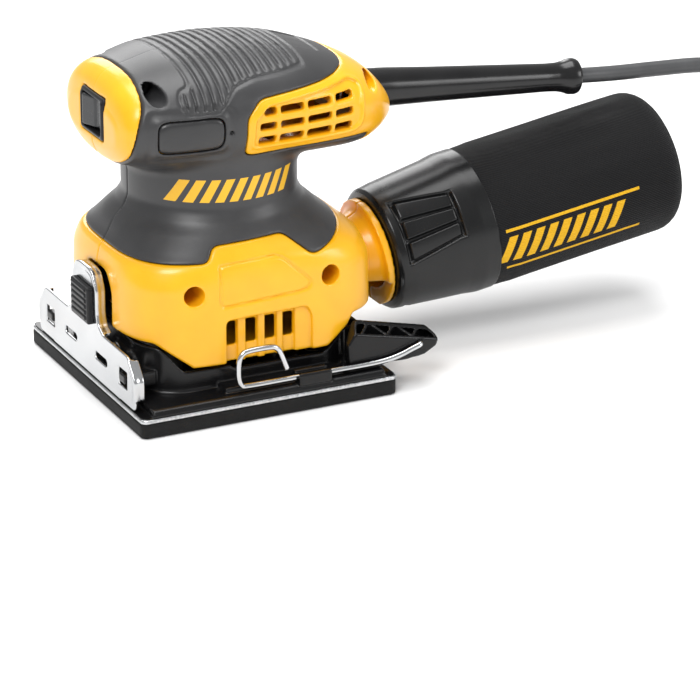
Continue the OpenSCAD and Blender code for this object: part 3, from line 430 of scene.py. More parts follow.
finish("lever_wire", (0.50, 0.51, 0.52), (0.60, 0.61, 0.62), (0.10, 0.18), metal=1.0, mottle=60,
       grain=(700, 0.08, 0.05))
finish("collar_plastic", (0.004, 0.0042, 0.0045), (0.007, 0.0073, 0.0077), (0.22, 0.30), mottle=60,
       grain=(1500, 0.2, 0.06), spec=0.36)
finish("bag_cloth", (0.005, 0.005, 0.0055), (0.009, 0.009, 0.0095), (0.72, 0.85), mottle=40,
       grain=(900, 0.3, 0.1))
finish("tie_nylon", (0.012, 0.012, 0.012), (0.02, 0.02, 0.02), (0.35, 0.45))
finish("plug_rubber", (0.012, 0.012, 0.013), (0.02, 0.02, 0.021), (0.35, 0.48))
finish("plated_brass", (0.62, 0.60, 0.54), (0.72, 0.70, 0.64), (0.14, 0.24), metal=1.0)

# Printed yellow, and the printed lines on the bag: low and high place along it and round it, in the
# cloth's own tenths of a metre
INK = (0.80, 0.44, 0.015, 1)
BAG_LINES = [(0.045, 0.66, -0.497, -0.484), (0.045, 0.66, -0.316, -0.303)]


def arithmetic(n, l, op, a, b):
    """Output of one arithmetic node. Each input is a socket or a number."""
    m = n.new("ShaderNodeMath")
    m.operation = op
    for i, v in enumerate((a, b)):
        if isinstance(v, float):
            m.inputs[i].default_value = v
        else:
            l.new(v, m.inputs[i])
    return m.outputs[0]


def inside(n, l, value, low, high):
    """Node output that is 1 where value lies between low and high."""
    above = arithmetic(n, l, "GREATER_THAN", value, low)
    below = arithmetic(n, l, "LESS_THAN", value, high)
    return arithmetic(n, l, "MULTIPLY", above, below)


def inked(n, l, base, mask):
    """Base colour, with printed yellow where the mask is 1."""
    mix = n.new("ShaderNodeMix")
    mix.data_type = "RGBA"
    l.new(mask, mix.inputs["Factor"])
    l.new(base, mix.inputs["A"])
    mix.inputs["B"].default_value = INK
    return mix.outputs["Result"]


def axes(n, l, vector):
    """The three parts of a vector."""
    sep = n.new("ShaderNodeSeparateXYZ")
    l.new(vector, sep.inputs[0])
    return sep.outputs


def bars(n, l, base, vector, across, up, start, pitch, count, low, high, lean, side=None):
    """Row of plain slanted bars over a base colour, from low to high along the second axis."""
    part = axes(n, l, vector)
    place = arithmetic(n, l, "MULTIPLY", part[up], lean)
    place = arithmetic(n, l, "ADD", part[across], place)
    place = arithmetic(n, l, "SUBTRACT", place, start)
    place = arithmetic(n, l, "DIVIDE", place, pitch)
    mask = inside(n, l, arithmetic(n, l, "FRACT", place, 0.0), 0.0, 0.62)
    mask = arithmetic(n, l, "MULTIPLY", mask, inside(n, l, place, 0.0, count))
    mask = arithmetic(n, l, "MULTIPLY", mask, inside(n, l, part[up], low, high))
    if side is not None:
        mask = arithmetic(n, l, "MULTIPLY", mask, arithmetic(n, l, "LESS_THAN", part[side], 0.0))
    return inked(n, l, base, mask)


def twill():
    """Diagonal weave of the bag, with printed lines and bars, in the cloth's own flat coordinates."""
    m = FINISH["bag_cloth"]
    n, l = m.node_tree.nodes, m.node_tree.links
    b = n["Principled BSDF"]
    uv = n.new("ShaderNodeUVMap")
    uv.uv_map = "cloth"
    flat = uv.outputs["UV"]
    waves = []
    for angle, size in ((0.9, 1.0), (-0.67, 1.9)):
        mp = n.new("ShaderNodeMapping")
        mp.inputs["Rotation"].default_value = (0, 0, angle)
        l.new(flat, mp.inputs["Vector"])
        w = n.new("ShaderNodeTexWave")
        w.bands_direction = "X"
        w.inputs["Scale"].default_value = 36.0 * size
        w.inputs["Distortion"].default_value = 0.4
        l.new(mp.outputs["Vector"], w.inputs["Vector"])
        waves.append(w.outputs["Fac"])
    height = arithmetic(n, l, "MULTIPLY", *waves)
    bump = n.new("ShaderNodeBump")
    bump.inputs["Strength"].default_value = 0.9
    bump.inputs["Distance"].default_value = 0.25 * MM
    l.new(height, bump.inputs["Height"])
    l.new(bump.outputs["Normal"], b.inputs["Normal"])
    shade = n.new("ShaderNodeMix")
    shade.data_type = "RGBA"
    shade.inputs["A"].default_value = (0.004, 0.004, 0.0045, 1)
    shade.inputs["B"].default_value = (0.013, 0.013, 0.014, 1)
    l.new(height, shade.inputs["Factor"])
    colour = shade.outputs["Result"]
    place, turn, _ = axes(n, l, flat)
    for near, far, low, high in BAG_LINES:
        mask = arithmetic(n, l, "MULTIPLY", inside(n, l, place, near, far), inside(n, l, turn, low, high))
        colour = inked(n, l, colour, mask)
    colour = bars(n, l, colour, flat, 0, 1, -0.15, 0.062, 9.0, -0.462, -0.345, 0.45)
    l.new(colour, b.inputs["Base Color"])
    b.inputs["Sheen Weight"].default_value = 0.05
    b.inputs["Specular IOR Level"].default_value = 0.2
    b.inputs["Sheen Roughness"].default_value = 0.4


def neck_print():
    """Plain slanted bars on the near side of the neck, all in metres."""
    m = FINISH["grip_rubber"]
    n, l = m.node_tree.nodes, m.node_tree.links
    b = n["Principled BSDF"]
    base = b.inputs["Base Color"].links[0].from_socket
    co = n.new("ShaderNodeTexCoord").outputs["Object"]
    base = bars(n, l, base, co, 0, 2, -0.0685, 0.0054, 9.0, 0.081, 0.090, -0.5, side=1)
    l.new(base, b.inputs["Base Color"])


twill()
neck_print()

# ---------------------------------------------------------------- housing
# The head: place along it, half width, top and bottom, as shares of its length, half width and height
HEAD = [
    (0.000, 0.700, 0.690, 0.180), (0.020, 0.775, 0.780, 0.135), (0.055, 0.840, 0.860, 0.100),
    (0.115, 0.915, 0.905, 0.058), (0.250, 0.985, 0.982, 0.025), (0.410, 1.000, 1.000, 0.005),
    (0.520, 0.990, 0.982, 0.000), (0.640, 0.960, 0.935, 0.000), (0.770, 0.885, 0.825, 0.000),
    (0.845, 0.800, 0.745, 0.010), (0.900, 0.690, 0.665, 0.050), (0.945, 0.555, 0.555, 0.110),
    (0.980, 0.400, 0.430, 0.180), (1.000, 0.230, 0.330, 0.240)]
# The body and neck: height, centre, half length, half width, and the power of the rounded section
BODY = [
    (20.0, 4.25, 52.75, 46.5, 4.0), (50.0, 4.25, 52.25, 46.0, 4.0), (58.0, 3.65, 50.45, 45.0, 3.5),
    (63.5, 2.1, 45.6, 42.4, 2.8), (69.0, 0.4, 40.8, 39.0, 2.3), (74.0, 0.0, 36.2, 35.8, 2.1),
    (79.0, 0.0, NECK_R, NECK_R, 2.0), (107.8, 0.0, NECK_R, NECK_R, 2.0)]


def outer_form(g):
    """Distance to the outside of the housing, overmould and all."""
    s = [r[0] for r in HEAD]
    sx = (np.clip(g.X, HEAD_FRONT, HEAD_FRONT + HEAD_L) - HEAD_FRONT) / HEAD_L
    a = curve(s, [HEAD_W / 2 * r[1] for r in HEAD], sx)
    zt = curve(s, [HEIGHT - HEAD_H * (1 - r[2]) for r in HEAD], sx)
    zb = curve(s, [HEIGHT - HEAD_H * (1 - r[3]) for r in HEAD], sx)
    c, h = (zt + zb) / 2, (zt - zb) / 2
    power = 2.4
    f = ((np.abs(g.Y) / a) ** power + (np.abs(g.Z - c) / h) ** power) ** (1 / power) - 1
    head = even(f * np.minimum(a, h), g.h)
    head = smax(head, HEAD_FRONT - g.X, 4.5)
    head = smax(head, g.X - HEAD_FRONT - HEAD_L, 4)
    z = np.clip(g.Z, 20, 107.8)
    rows = [r[0] for r in BODY]
    cx, la, lb, nn = [curve(rows, [r[i] for r in BODY], z) for i in (1, 2, 3, 4)]
    f = ((np.abs(g.X - cx) / la) ** nn + (np.abs(g.Y) / lb) ** nn) ** (1 / nn) - 1
    body = even(f * np.minimum(la, lb), g.h)
    body = smax(body, 20 - g.Z, 1.2)
    body = np.maximum(body, g.Z - 107)
    return smin(head, body, 5.0)


def spout_form(g, d):
    """Adds the flared dust spout to the housing's outer form."""
    s, r = along(g, SPOUT, SPOUT_DIR)
    neck = np.maximum(np.maximum(r - 15.5 - 0.35 * np.maximum(s + 12, 0), s + 1), -24 - s)
    d = smin(d, neck, 5)
    lip = np.maximum(r - 21.9, np.maximum(-3.0 - s, s))
    d = smin(d, lip, 2.0)
    over = (g.X - SPOUT[0]) * SPOUT_UP[0] + (g.Z - SPOUT[2]) * SPOUT_UP[2]
    gusset = np.maximum(np.abs(g.Y) - 1.3, np.maximum(np.maximum(r - 21 - 0.9 * (s + 2), s), -20 - s))
    gusset = np.maximum(gusset, over)
    d = smin(d, gusset, 1.5)
    return np.minimum(d, np.maximum(r - SPOUT_R, np.maximum(-3 - s, s - 27)))


# Outlines in side view: x, height
GRIP = [
    (-36.5, 160), (-37.5, 131), (-40.2, 122), (-42.8, 115), (-44.4, 107), (-45.2, 97), (-46, 92), (-66, 85),
    (-66, 60.5), (-19, 60.5), (-16, 66.0), (13, 67.2), (24, 58.0), (40, 62.5), (70, 70), (70, 82), (46, 89),
    (55, 95), (56.5, 99.2), (-0.8, 99.2), (-0.8, 115), (5, 121.4), (51, 124.5), (55, 128), (59, 160)]
PANEL = [(2.2, 102.6), (2.2, 113.5), (8, 118.8), (46, 122.0), (51.5, 119.6), (49.6, 105), (46, 102.6)]
LABEL = [
    (-15.8, 45.2), (-15.2, 59.4), (7.5, 60.4), (10.5, 59.6), (22.4, 48.4), (21.6, 46), (18, 45),
    (-14.6, 43.2)]
VENT = [(-13.6, 10), (-13.6, 37.6), (20.5, 38.4), (22.6, 34), (22.6, 10)]
INLAY = [(-36, 104), (-36, 117), (-10, 117), (-10, 104)]
CROWN = [
    (-21, 160), (-21, 128), (-25.5, 126.8), (-27, 123.4), (-24.5, 118.6), (-11.5, 118.6), (-7.5, 123.2),
    (-4, 126.4), (4, 128.2), (29, 129), (29, 160)]
# Rows of the grille: height, then the start and length of each slot
GRILLE = [
    (104.9, ((4.6, 7.2), (13.5, 10.2), (25.4, 10.6), (37.7, 7.6))),
    (110.5, ((4.8, 7.0), (13.5, 10.2), (25.4, 10.6), (37.9, 8.0))),
    (116.2, ((6.6, 5.2), (13.5, 10.2), (25.4, 10.6), (38.2, 8.4)))]


def skirt_cuts(g, d):
    """Raised front and rear edges of the skirt, the tongue's arch, the vents and the label's outline."""
    for pts in ([(-60, 5), (-26.5, 5), (-27.5, 20.5), (-40.5, 30.2), (-60, 30.5)],
                [(70, 5), (29, 5), (30, 20.5), (38.6, 26.8), (41.6, 31), (70, 31)]):
        d = smax(d, -side_view(g, pts, 1.0), 1.0)
    w, top, shoulder = TONGUE_W / 2 + 2, TONGUE_TOP - 1, TONGUE_TOP - 8
    arch = front_view(g, [(-w, 10), (-w, shoulder), (-w + 5, top), (w - 5, top), (w, shoulder), (w, 10)], 2.5)
    d = smax(d, -np.maximum(arch, g.X - SKIRT_FRONT - 12), 1.6)
    vent = side_view(g, VENT, 1.5)
    d = smax(d, -np.maximum(vent, g.Y + 44.6), 0.7)
    for x in (-13.0, -4.6, 3.4, 11.0):
        d = smax(d, -np.maximum(vent + 0.6, block(g, (x - 0.3, -60, 8), (x + 4.7, -43.3, 40), 0.4)), 0.5)
        d = smax(d, -block(g, (x, -60, 26.8), (x + 4.4, -36, 36.2), 0.5), 0.4)
    return d + 0.85 * step(np.abs(side_view(g, LABEL, 0.8)) - 0.35, 0.8) * step(g.Y + 30, 4)


def across(g, x, z, r, near, far):
    """Rod from side to side, between two distances from the joint of the shells."""
    return rod(g, (x, 0, z), (0, -1, 0), r, near, far)


def parted(g, d):
    """Stops a shell at the joint, which shows as a fine line only below the head."""
    low = smax(d, g.Y + 0.1, 0.5)
    high = np.maximum(d + 0.3 * np.clip(g.Y, 0, 2), g.Y - 0.8)
    w = step(g.Z - 103, 1.0)
    return low * w + high * (1 - w)


H = 0.55
G = Grid((-50.5, -48.8, 17.5), (99.0, 1.2, 137.6), H)
OUTER = outer_form(G)
REGION = side_view(G, GRIP, 1.8)
LINING = 0.9


def inlay_field(g, grow):
    """Rounded pad let into the side of the head."""
    return np.maximum(side_view(g, INLAY, 2.2) - grow, g.Y + 30)


def housing_field():
    """One shell: its outside, wells and openings, and its hollow inside."""
    d = skirt_cuts(G, spout_form(G, OUTER))
    # The grille: a sunk panel with rows of slots
    panel = side_view(G, PANEL, 1.6)
    near = step(G.Y + 20, 4)
    d = d + 0.9 * step(panel + 0.4, 0.6) * near - 0.35 * step(np.abs(panel - 0.5) - 0.4, 0.6) * near
    for z, slots in GRILLE:
        for x, length in slots:
            d = smax(d, -block(G, (x, -60, z - 1.45), (x + length, -22, z + 1.45), 0.8), 0.7)
    inner = OUTER + 4.4
    s, r = along(G, SPOUT, SPOUT_DIR)
    bore = np.maximum(r - SPOUT_R + 2.5, -30 - s)
    hollow = np.minimum(inner, bore)
    ledge = np.minimum(np.abs(G.Z - 116.0) - 1.3, 9)
    d = smax(d, -np.maximum(hollow, -ledge), 0.6)
    # Bosses round the screw wells, and the wells. The first is wider, for its soft lining
    for x, z, depth, r in SCREWS:
        d = smin(d, np.maximum(across(G, x, z, r + 2.2, depth - 4, 60), OUTER + 1.2), 0.6)
    for i, (x, z, depth, r) in enumerate(SCREWS):
        d = smax(d, -across(G, x, z, r + (0 if i else LINING), depth, 60), 0.5)
    # Room for the overmould, the pad in the side, the switch and the strain relief
    seat = np.maximum(REGION - 0.1, -(OUTER + 2.05))
    d = smax(d, -seat, 0.7)
    d = smax(d, -np.maximum(inlay_field(G, 1.1), G.Y + 33.4), 0.4)
    d = smax(d, -block(G, (-52, -11.4, 104), (-24, 11.4, 121.1), 1.2), 0.8)
    d = smax(d, -rod(G, SLEEVE, SLEEVE_DIR, SLEEVE_R + 0.25, -40, 40), 0.6)
    return parted(G, d)


def grip_field():
    """One side of the soft overmould, which lies on the shell."""
    d = smax(OUTER, REGION + 0.12, 1.1)
    # Zone of fine grooves over the crown, with its outline, and a plain sunk panel behind
    zone = side_view(G, CROWN, 1.2)
    groove = step(np.abs((G.X + 26) % 3.5 - 1.75) - 0.4, 1.2)
    top = step(zone + 1.0, 0.8)
    ends = ((G.X > -24.6) & (G.X < 29)).astype(np.float32)
    d = d + 1.2 * groove * top * ends
    d = d + 0.7 * step(np.abs(zone) - 0.35, 1.0)
    plate = top_view(G, [(31, -11), (31, 11), (42, 11), (42, -11)], 0.8)
    d = d + 0.5 * step(plate, 0.6) * step(120 - G.Z, 2)
    # Soft rim round the pad in the side
    rim = side_view(G, INLAY, 1.6)
    d = d + 0.6 * step(np.abs(rim - 2.6) - 1.4, 2.4) * step(G.Y + 28, 3)
    d = smax(d, -inlay_field(G, 0.15), 0.8)
    d = smax(d, -(OUTER + 2.0), 0.4)
    x, z, depth, r = SCREWS[0]
    d = smin(d, np.maximum(across(G, x, z, r + 1, depth + 0.1, 60), OUTER + 0.3), 0.4)
    d = smax(d, -across(G, x, z, r, depth, depth + 3), 0.3)
    d = smax(d, -across(G, x, z, 3.4, depth, 60), 0.5)
    for x, z in ((-7.2, 110.2), (-39.2, 131)):
        d = smax(d, -np.maximum(across(G, x, z, 0.85, 20, 60), -(OUTER + 1.5)), 0.3)
    d = smax(d, -rod(G, SLEEVE, SLEEVE_DIR, SLEEVE_R + 0.25, -40, 40), 0.6)
    return parted(G, d)


for make, piece, node, slot in ((housing_field, "shell_", "housing_", "yellow_housing"),
                                (grip_field, "overmould_", "grip_", "grip_rubber")):
    field = make()
    for side, flip in (("left", False), ("right", True)):
        fit(solid(piece + side, G, field, mirror=flip), [node + side], "housing", slot)
g = Grid((-38.5, -42, 101), (-7.5, -32, 120), 0.35)
pad = smax(outer_form(g) + 0.1, inlay_field(g, -0.15), 1.6)
pad = smax(pad, -(outer_form(g) + 3), 0.4)
parts = [solid("inlay_" + str(i), g, pad, mirror=bool(i)) for i in (0, 1)]
bpy.ops.object.select_all(action="DESELECT")
for p in parts:
    p.select_set(True)
bpy.context.view_layer.objects.active = parts[0]
bpy.ops.object.join()
fit(parts[0], ["side_inlays"], "housing", "inlay_rubber")
parts[0].name = "side_pads"

# ---------------------------------------------------------------- switch
g = Grid((-50.5, -12.5, 102.5), (-23.5, 12.5, 122.5), 0.3)
d = block(g, (-49.2, -11.3, 104), (-25.1, 11.3, 121), 1.9)
d = smax(d, outer_form(g) - 0.5, 0.5)
d = smax(d, -block(g, (-52, -9.3, 105.7), (-37.5, 9.3, 119.3), 1.6), 0.5)
fit(solid("switch_frame", g, d), ["switch_body"], "housing", "black_plastic")
face = top_view(g, [(-42.6, -2.5), (-42.6, 2.5), (-45.1, 8.3), (-49.4, 8.1), (-47.0, 0.4), (-46.2, -0.4),
                    (-46.6, -8.3), (-44, -8.4)], 0.3)
d = smax(face, np.abs(g.Z - SWITCH_Z) - 6.2, 0.7)
fit(solid("switch_button", g, d), ["switch_rocker"], "rocker", "rocker_plastic")

# ---------------------------------------------------------------- pad
TURNS = [math.radians(45 * (i + 0.5)) for i in range(8)]
HOLES = [(HOLE_RING * math.cos(a), HOLE_RING * math.sin(a)) for a in TURNS]


def pad_sheet(g, low, high, reach, edge, rim):
    """Flat sheet of the pad with its dust holes, between two heights, and how soft its edges are."""
    holes = np.full((1, 1, 1), 1e3, np.float32)
    for x, y in HOLES:
        holes = np.minimum(holes, np.hypot(g.X - x, g.Y - y) - HOLE_R)
    d = block(g, (-PAD_L / 2, -PAD_W / 2, low - reach), (PAD_L / 2, PAD_W / 2, high + reach), 3.0)
    return smax(smax(d, np.maximum(low - g.Z, g.Z - high), edge), -holes, rim)


g = Grid((-56, -59.5, -1.5), (56, 59.5, 10.5), 0.5)
fit(solid("foam", g, pad_sheet(g, 0, 6, 3, 0.8, 0.5), adapt=0.02), ["foam_pad"], "pad", "pad_foam")
g = Grid((-56, -59.5, 4.9), (56, 59.5, 8.8), 0.4)
plate = pad_sheet(g, 6, Z_BASE, 6, 0.12, 0.4)
fit(solid("plate", g, plate, adapt=0.02), ["backing_plate"], "pad", "plate_aluminium")

# ---------------------------------------------------------------- platen
CHEEK = [
    (36, 9.6), (47, 9.6), (49.5, 11.6), (60, 11.2), (68, 12), (73.5, 15), (74.6, 18.4), (72, 21.4),
    (64.5, 23.2), (46, 27.6), (41.5, 28.8), (39, 27), (35, 21)]
# The height of the rounded wall, from front to rear
RIM_X = [-60, -40.5, -29, -12, -9, 27, 30, 38.5, 43.5, 60]
RIM_Z = [28.8, 28.6, 18.6, 18.6, 17.0, 17.0, 18.6, 24.6, 28.8, 28.8]


def wall_round(g, half_l, half_w, r, t):
    """Rounded upright wall."""
    qx, qy = np.abs(g.X) - half_l + r, np.abs(g.Y) - half_w + r
    d = np.sqrt(np.maximum(qx, 0) ** 2 + np.maximum(qy, 0) ** 2) + np.minimum(np.maximum(qx, qy), 0) - r
    return np.maximum(d, -(d + t))


def platen_field(g):
    """The moulding that carries the pad: deck, rounded wall, hub, legs' feet, clamp blocks and cheeks."""
    d = block(g, (-53.7, -57.2, 2), (53.7, 57.2, Z_DECK), 2.7)
    d = smax(d, Z_BASE - g.Z, 0.4)
    rim = np.maximum(g.Z - curve(RIM_X, RIM_Z, g.X), Z_DECK - 1 - g.Z)
    tub = np.maximum(wall_round(g, 45.2, 44.6, 18, 2.6), rim)
    d = smin(d, tub, 1.6)
    hub = rod(g, (0, 0, 0), (0, 0, 1), 18, Z_BASE, 18.8)
    d = smin(d, hub, 1.5)
    for sx in (-1, 1):
        for sy in (-1, 1):
            x, y = sx * LEGS[0] - ORBIT, sy * LEGS[1]
            d = smin(d, rod(g, (x, y, 0), (0, 0, 1), 6.5, Z_BASE, 15.6), 1.2)
    # Front block and lugs
    front = block(g, (-47, -31, Z_DECK - 1), (-38, 31, 24.6), 2.6)
    front = smax(front, -block(g, (-44.2, -28, 13), (-30, 28, 40), 0.4), 0.5)
    front = smax(front, -block(g, (-60, -14, 18.6), (-30, 14, 40), 0.8), 0.5)
    for y in (-24, 24):
        front = np.minimum(front, block(g, (-46, y - 0.8, 12), (-38.5, y + 0.8, 23), 0.3))
    d = smin(d, front, 0.8)
    for y in (-LUG_Y, LUG_Y):
        d = smin(d, block(g, (-53.8, y - 3, 16.3), (-40.5, y + 3, 19.7), 0.5), 0.5)
        d = np.minimum(d, block(g, (-50.6, y - 3, 14.0), (-40.5, y + 3, 17.5), 0.5))
    # Rear block, webs and the braced cheeks
    rear = block(g, (38, -42, Z_DECK - 1), (47, 42, 24.6), 0.6)
    rear = smax(rear, -block(g, (30, -39, 13), (44.2, 39, 40), 0.4), 0.5)
    d = smin(d, rear, 0.8)
    side = side_view(g, CHEEK, 0.8)
    cheek = smax(side, np.abs(np.abs(g.Y) - 48.1) - 4.1, 0.8)
    # The inner top corner stays clear of the skirt through the pad's circle
    cheek = smax(cheek, ((45.3 - np.abs(g.Y)) + (38.9 - g.X)) * 0.7, 0.3)
    # The top slopes down to the outer edge, with triangular pockets between its braces
    crest = 28.9 - (g.X - 41.5) * 0.215
    cheek = smax(cheek, (g.Z - crest + 0.55 * (np.abs(g.Y) - 44.5)) * 0.86, 0.6)
    pocket = np.maximum(side + 1.2, np.abs(np.abs(g.Y) - 48.0) - 2.9)
    pocket = np.maximum(pocket, crest - 8.6 - g.Z)
    for i, x in enumerate((44.0, 49.5, 55.0, 60.5, 66.0)):
        lean = (1 if i % 2 else -1) * 0.95
        rib = (np.abs((g.X - x) - lean * (np.abs(g.Y) - 48.1)) - 0.75) * 0.72
        pocket = np.maximum(pocket, -rib)
    cheek = smax(cheek, -pocket, 0.4)
    d = smin(d, cheek, 0.8)
    # Wall and clip along the near side, by the lever
    near = block(g, (-17, -52.2, Z_DECK - 1), (33, -44.5, 12.6), 0.5)
    d = smin(d, near, 0.8)
    clip = block(g, (12, -57.2, 10.1), (26, -49.2, 15.1), 0.8)
    clip = smax(clip, -block(g, (0, LEVER_Y - 1.4, LEVER_Z - 1.4), (40, LEVER_Y + 1.4, 40), 0.6), 0.4)
    d = smin(d, clip, 0.7)
    # Room for the front clamp, save at the lugs, and for the rear clamp
    lugs = np.maximum(np.abs(np.abs(g.Y) - LUG_Y) - 3.1, 13.8 - g.Z)
    d = smax(d, -np.maximum(block(g, (-54.5, -60, 8.0), (-49, 60, 14), 0.2), -lugs), 0.4)
    d = smax(d, -block(g, (49, -60, 8.0), (54.5, 60, 10.9), 0.2), 0.4)
    # Seat of the bearing, the bore below it, the pivot's hole and the dust holes
    d = smax(d, -rod(g, (0, 0, 0), (0, 0, 1), 14.02, 10.2, 40), 0.3)
    d = smax(d, -rod(g, (0, 0, 0), (0, 0, 1), 11, 0, 40), 0.3)
    d = smax(d, -across(g, *PIVOT, 1.25, -70, 70), 0.3)
    for x, y in HOLES:
        d = smax(d, -rod(g, (x, y, 0), (0, 0, 1), HOLE_R, 0, 15), 0.3)
    return d


g = Grid((-55.5, -58.8, 6.9), (76.5, 58.8, 30.6), 0.5)
fit(solid("platen_moulding", g, platen_field(g)), ["platen"], "pad", "platen_plastic")

# ---------------------------------------------------------------- front clamp
g = Grid((-57.5, -50.5, 7.4), (-46.8, 50.5, 53.5), 0.3)
half = CLAMP_W / 2
profile = [(half, 8.3), (half, 20.6), (half - 7, 28.4), (18, 28.4), (13.4, 31), (12, 35), (12, 45), (8.5, 51),
           (4, TONGUE_TOP)]
edge = front_view(g, [(-half, 8.3)] + profile + [(-y, z) for y, z in profile[:0:-1]], 1.2)
shape = edge
for s in (-1, 1):
    square = np.maximum(np.abs(g.Y - s * LUG_Y) - 4.2, np.abs(g.Z - CLAMP_Z) - 3.5)
    length = np.maximum(np.abs(g.Y - s * 15.3) - 4.6, 0)
    long_hole = np.sqrt(length ** 2 + (g.Z - CLAMP_Z) ** 2) - 1.5
    shape = smax(smax(shape, -square, 0.6), -long_hole, 0.4)
flat = smax(shape, np.abs(g.X - CLAMP_X - CLAMP_T / 2) - CLAMP_T / 2, 0.7)
flange = np.maximum(edge, -(edge + CLAMP_T))
where = np.minimum(
    np.maximum(27.2 - g.Z, np.abs(g.Y) - 17), np.maximum(12.5 - g.Z, half - 6 - np.abs(g.Y)))
flange = smax(np.maximum(flange, where), np.maximum(CLAMP_X - g.X, g.X - CLAMP_X - 4.2), 0.5)
lip = block(g, (CLAMP_X, -34, 8.3), (CLAMP_X + 2.5, 34, 9.7), 0.4)
clamp = smin(smin(flat, flange, 0.9), lip, 0.5)
fit(solid("clamp_plate", g, clamp), ["front_clamp_plate"], "front_clamp", "polished_steel")
g = Grid((-57.2, -9.6, 29), (-52.6, 9.6, 46), 0.2)
d = block(g, (CLAMP_X - 2.4, -8.7, 30), (CLAMP_X + 1.6, 8.7, 45), 0.9)
d = np.maximum(d, g.X - CLAMP_X)
rib = step(np.abs((g.Z - 31.2) % 2.3 - 1.15) - 0.7, 0.5)
d = d - 0.6 * (rib * step(np.maximum(np.abs(g.Y) - 7, np.abs(g.Z - 37.8) - 6.4), 0.5))
fit(solid("clamp_grip", g, d), ["front_clamp_grip"], "front_clamp", "black_plastic")

# ---------------------------------------------------------------- rear clamp and lever
g = Grid((49, -45, 7.6), (69.5, 45, 21.2), 0.35)
d = block(g, (50.4, -43.4, 8.3), (63, 43.4, 9.7), 0.5)
ear = side_view(g, [(61, 8.3), (63, 8.3), (68.6, 17.6), (67.2, 18.2), (61, 9.7)], 0)
d = smin(d, np.maximum(ear, np.abs(np.abs(g.Y) - 42.1) - 1.3), 0.8)
d = np.minimum(d, np.maximum(across(g, *PIVOT, 2.6, -43.4, 43.4), 40.8 - np.abs(g.Y)))
d = smax(d, -across(g, *PIVOT, 1.2, -60, 60), 0.3)
fit(solid("rear_jaw", g, d), ["rear_clamp_jaw"], "rear_clamp", "polished_steel")

# The lever's wire, as distances forward of the pivot and above its arm, and the stub that it turns on
arm = [(0, PIVOT[1] - LEVER_Z), (4, 3.4), (9, 1.7), (15, 0.5), (23, 0), (38, 0), (56, 0), (74, 0),
       (77.2, 0.8), (78.4, 4.2), (78.2, 10.0), (77, 13.0), (74, 14.3), (65, 14.4), (62.2, 13.4),
       (60.6, 11.0), (58, 4.2)]
route = spline([(PIVOT[0] - a, LEVER_Y, LEVER_Z + b) for a, b in arm], 8)
turn = [(PIVOT[0], y, PIVOT[1]) for y in (-40, -43, -46, -49, -51, -52.6)]
turn.append((PIVOT[0] - 0.5, LEVER_Y + 0.25, PIVOT[1] - 0.1))
wire = np.concatenate([spline(turn, 4), route[3:]])
fit(tube("lever", wire, WIRE_D / 2, 20), ["side_lever"], "lever", "lever_wire")


# ---------------------------------------------------------------- dust outlet, collar and bag
def collar_radius(s, r, a):
    """Three groups of tapering finger ribs, each in a sunk pocket."""
    outerface = (r > 23.4) & (s > 4) & (s < 34)
    period = math.radians(120)
    t = (a - math.radians(58) + period / 2) % period - period / 2
    half = np.radians(np.interp(s, [6, 28], [31, 20]))
    u = t / half
    edge = 1.0 / (half * r)
    pocket = step(np.maximum((np.abs(u) - 1.0) / edge, np.maximum(5.6 - s, s - 30.5)), 1.0)
    ribs = 0
    for centre in (-0.66, 0.0, 0.66):
        rib = np.maximum((np.abs(u - centre) - 0.27) / edge, np.maximum(7.2 - s, s - 29.2))
        ribs = np.maximum(ribs, step(rib, 0.9))
    lean = np.clip((u + 1.0) % 0.667 / 0.667, 0, 1)
    return r - np.where(outerface, 2.0 * pocket - (2.0 - 0.9 * lean) * ribs * pocket, 0)


seat = 27.3
prof = [(0.6, 17.8), (0.6, 22.6), (1.0, 24.0), (2.4, 25.1), (8, 26.0), (31.5, 28.3), (37, 29.2), (38.2, 29.3),
        (COLLAR_L, 29.3), (COLLAR_L, 26.1), (seat + 5.4, 26.1), (seat + 5.4, 14.5), (seat + 3.3, 14.5),
        (seat + 3.3, 19.8), (seat - 0.3, 19.8), (seat - 0.3, 17.8)]
o = lathe("collar", fine(prof, 0.5), SPOUT, SPOUT_DIR, SPOUT_UP, n=480, radius=collar_radius)
fit(o, ["bag_collar"], "dust_bag", "collar_plastic")


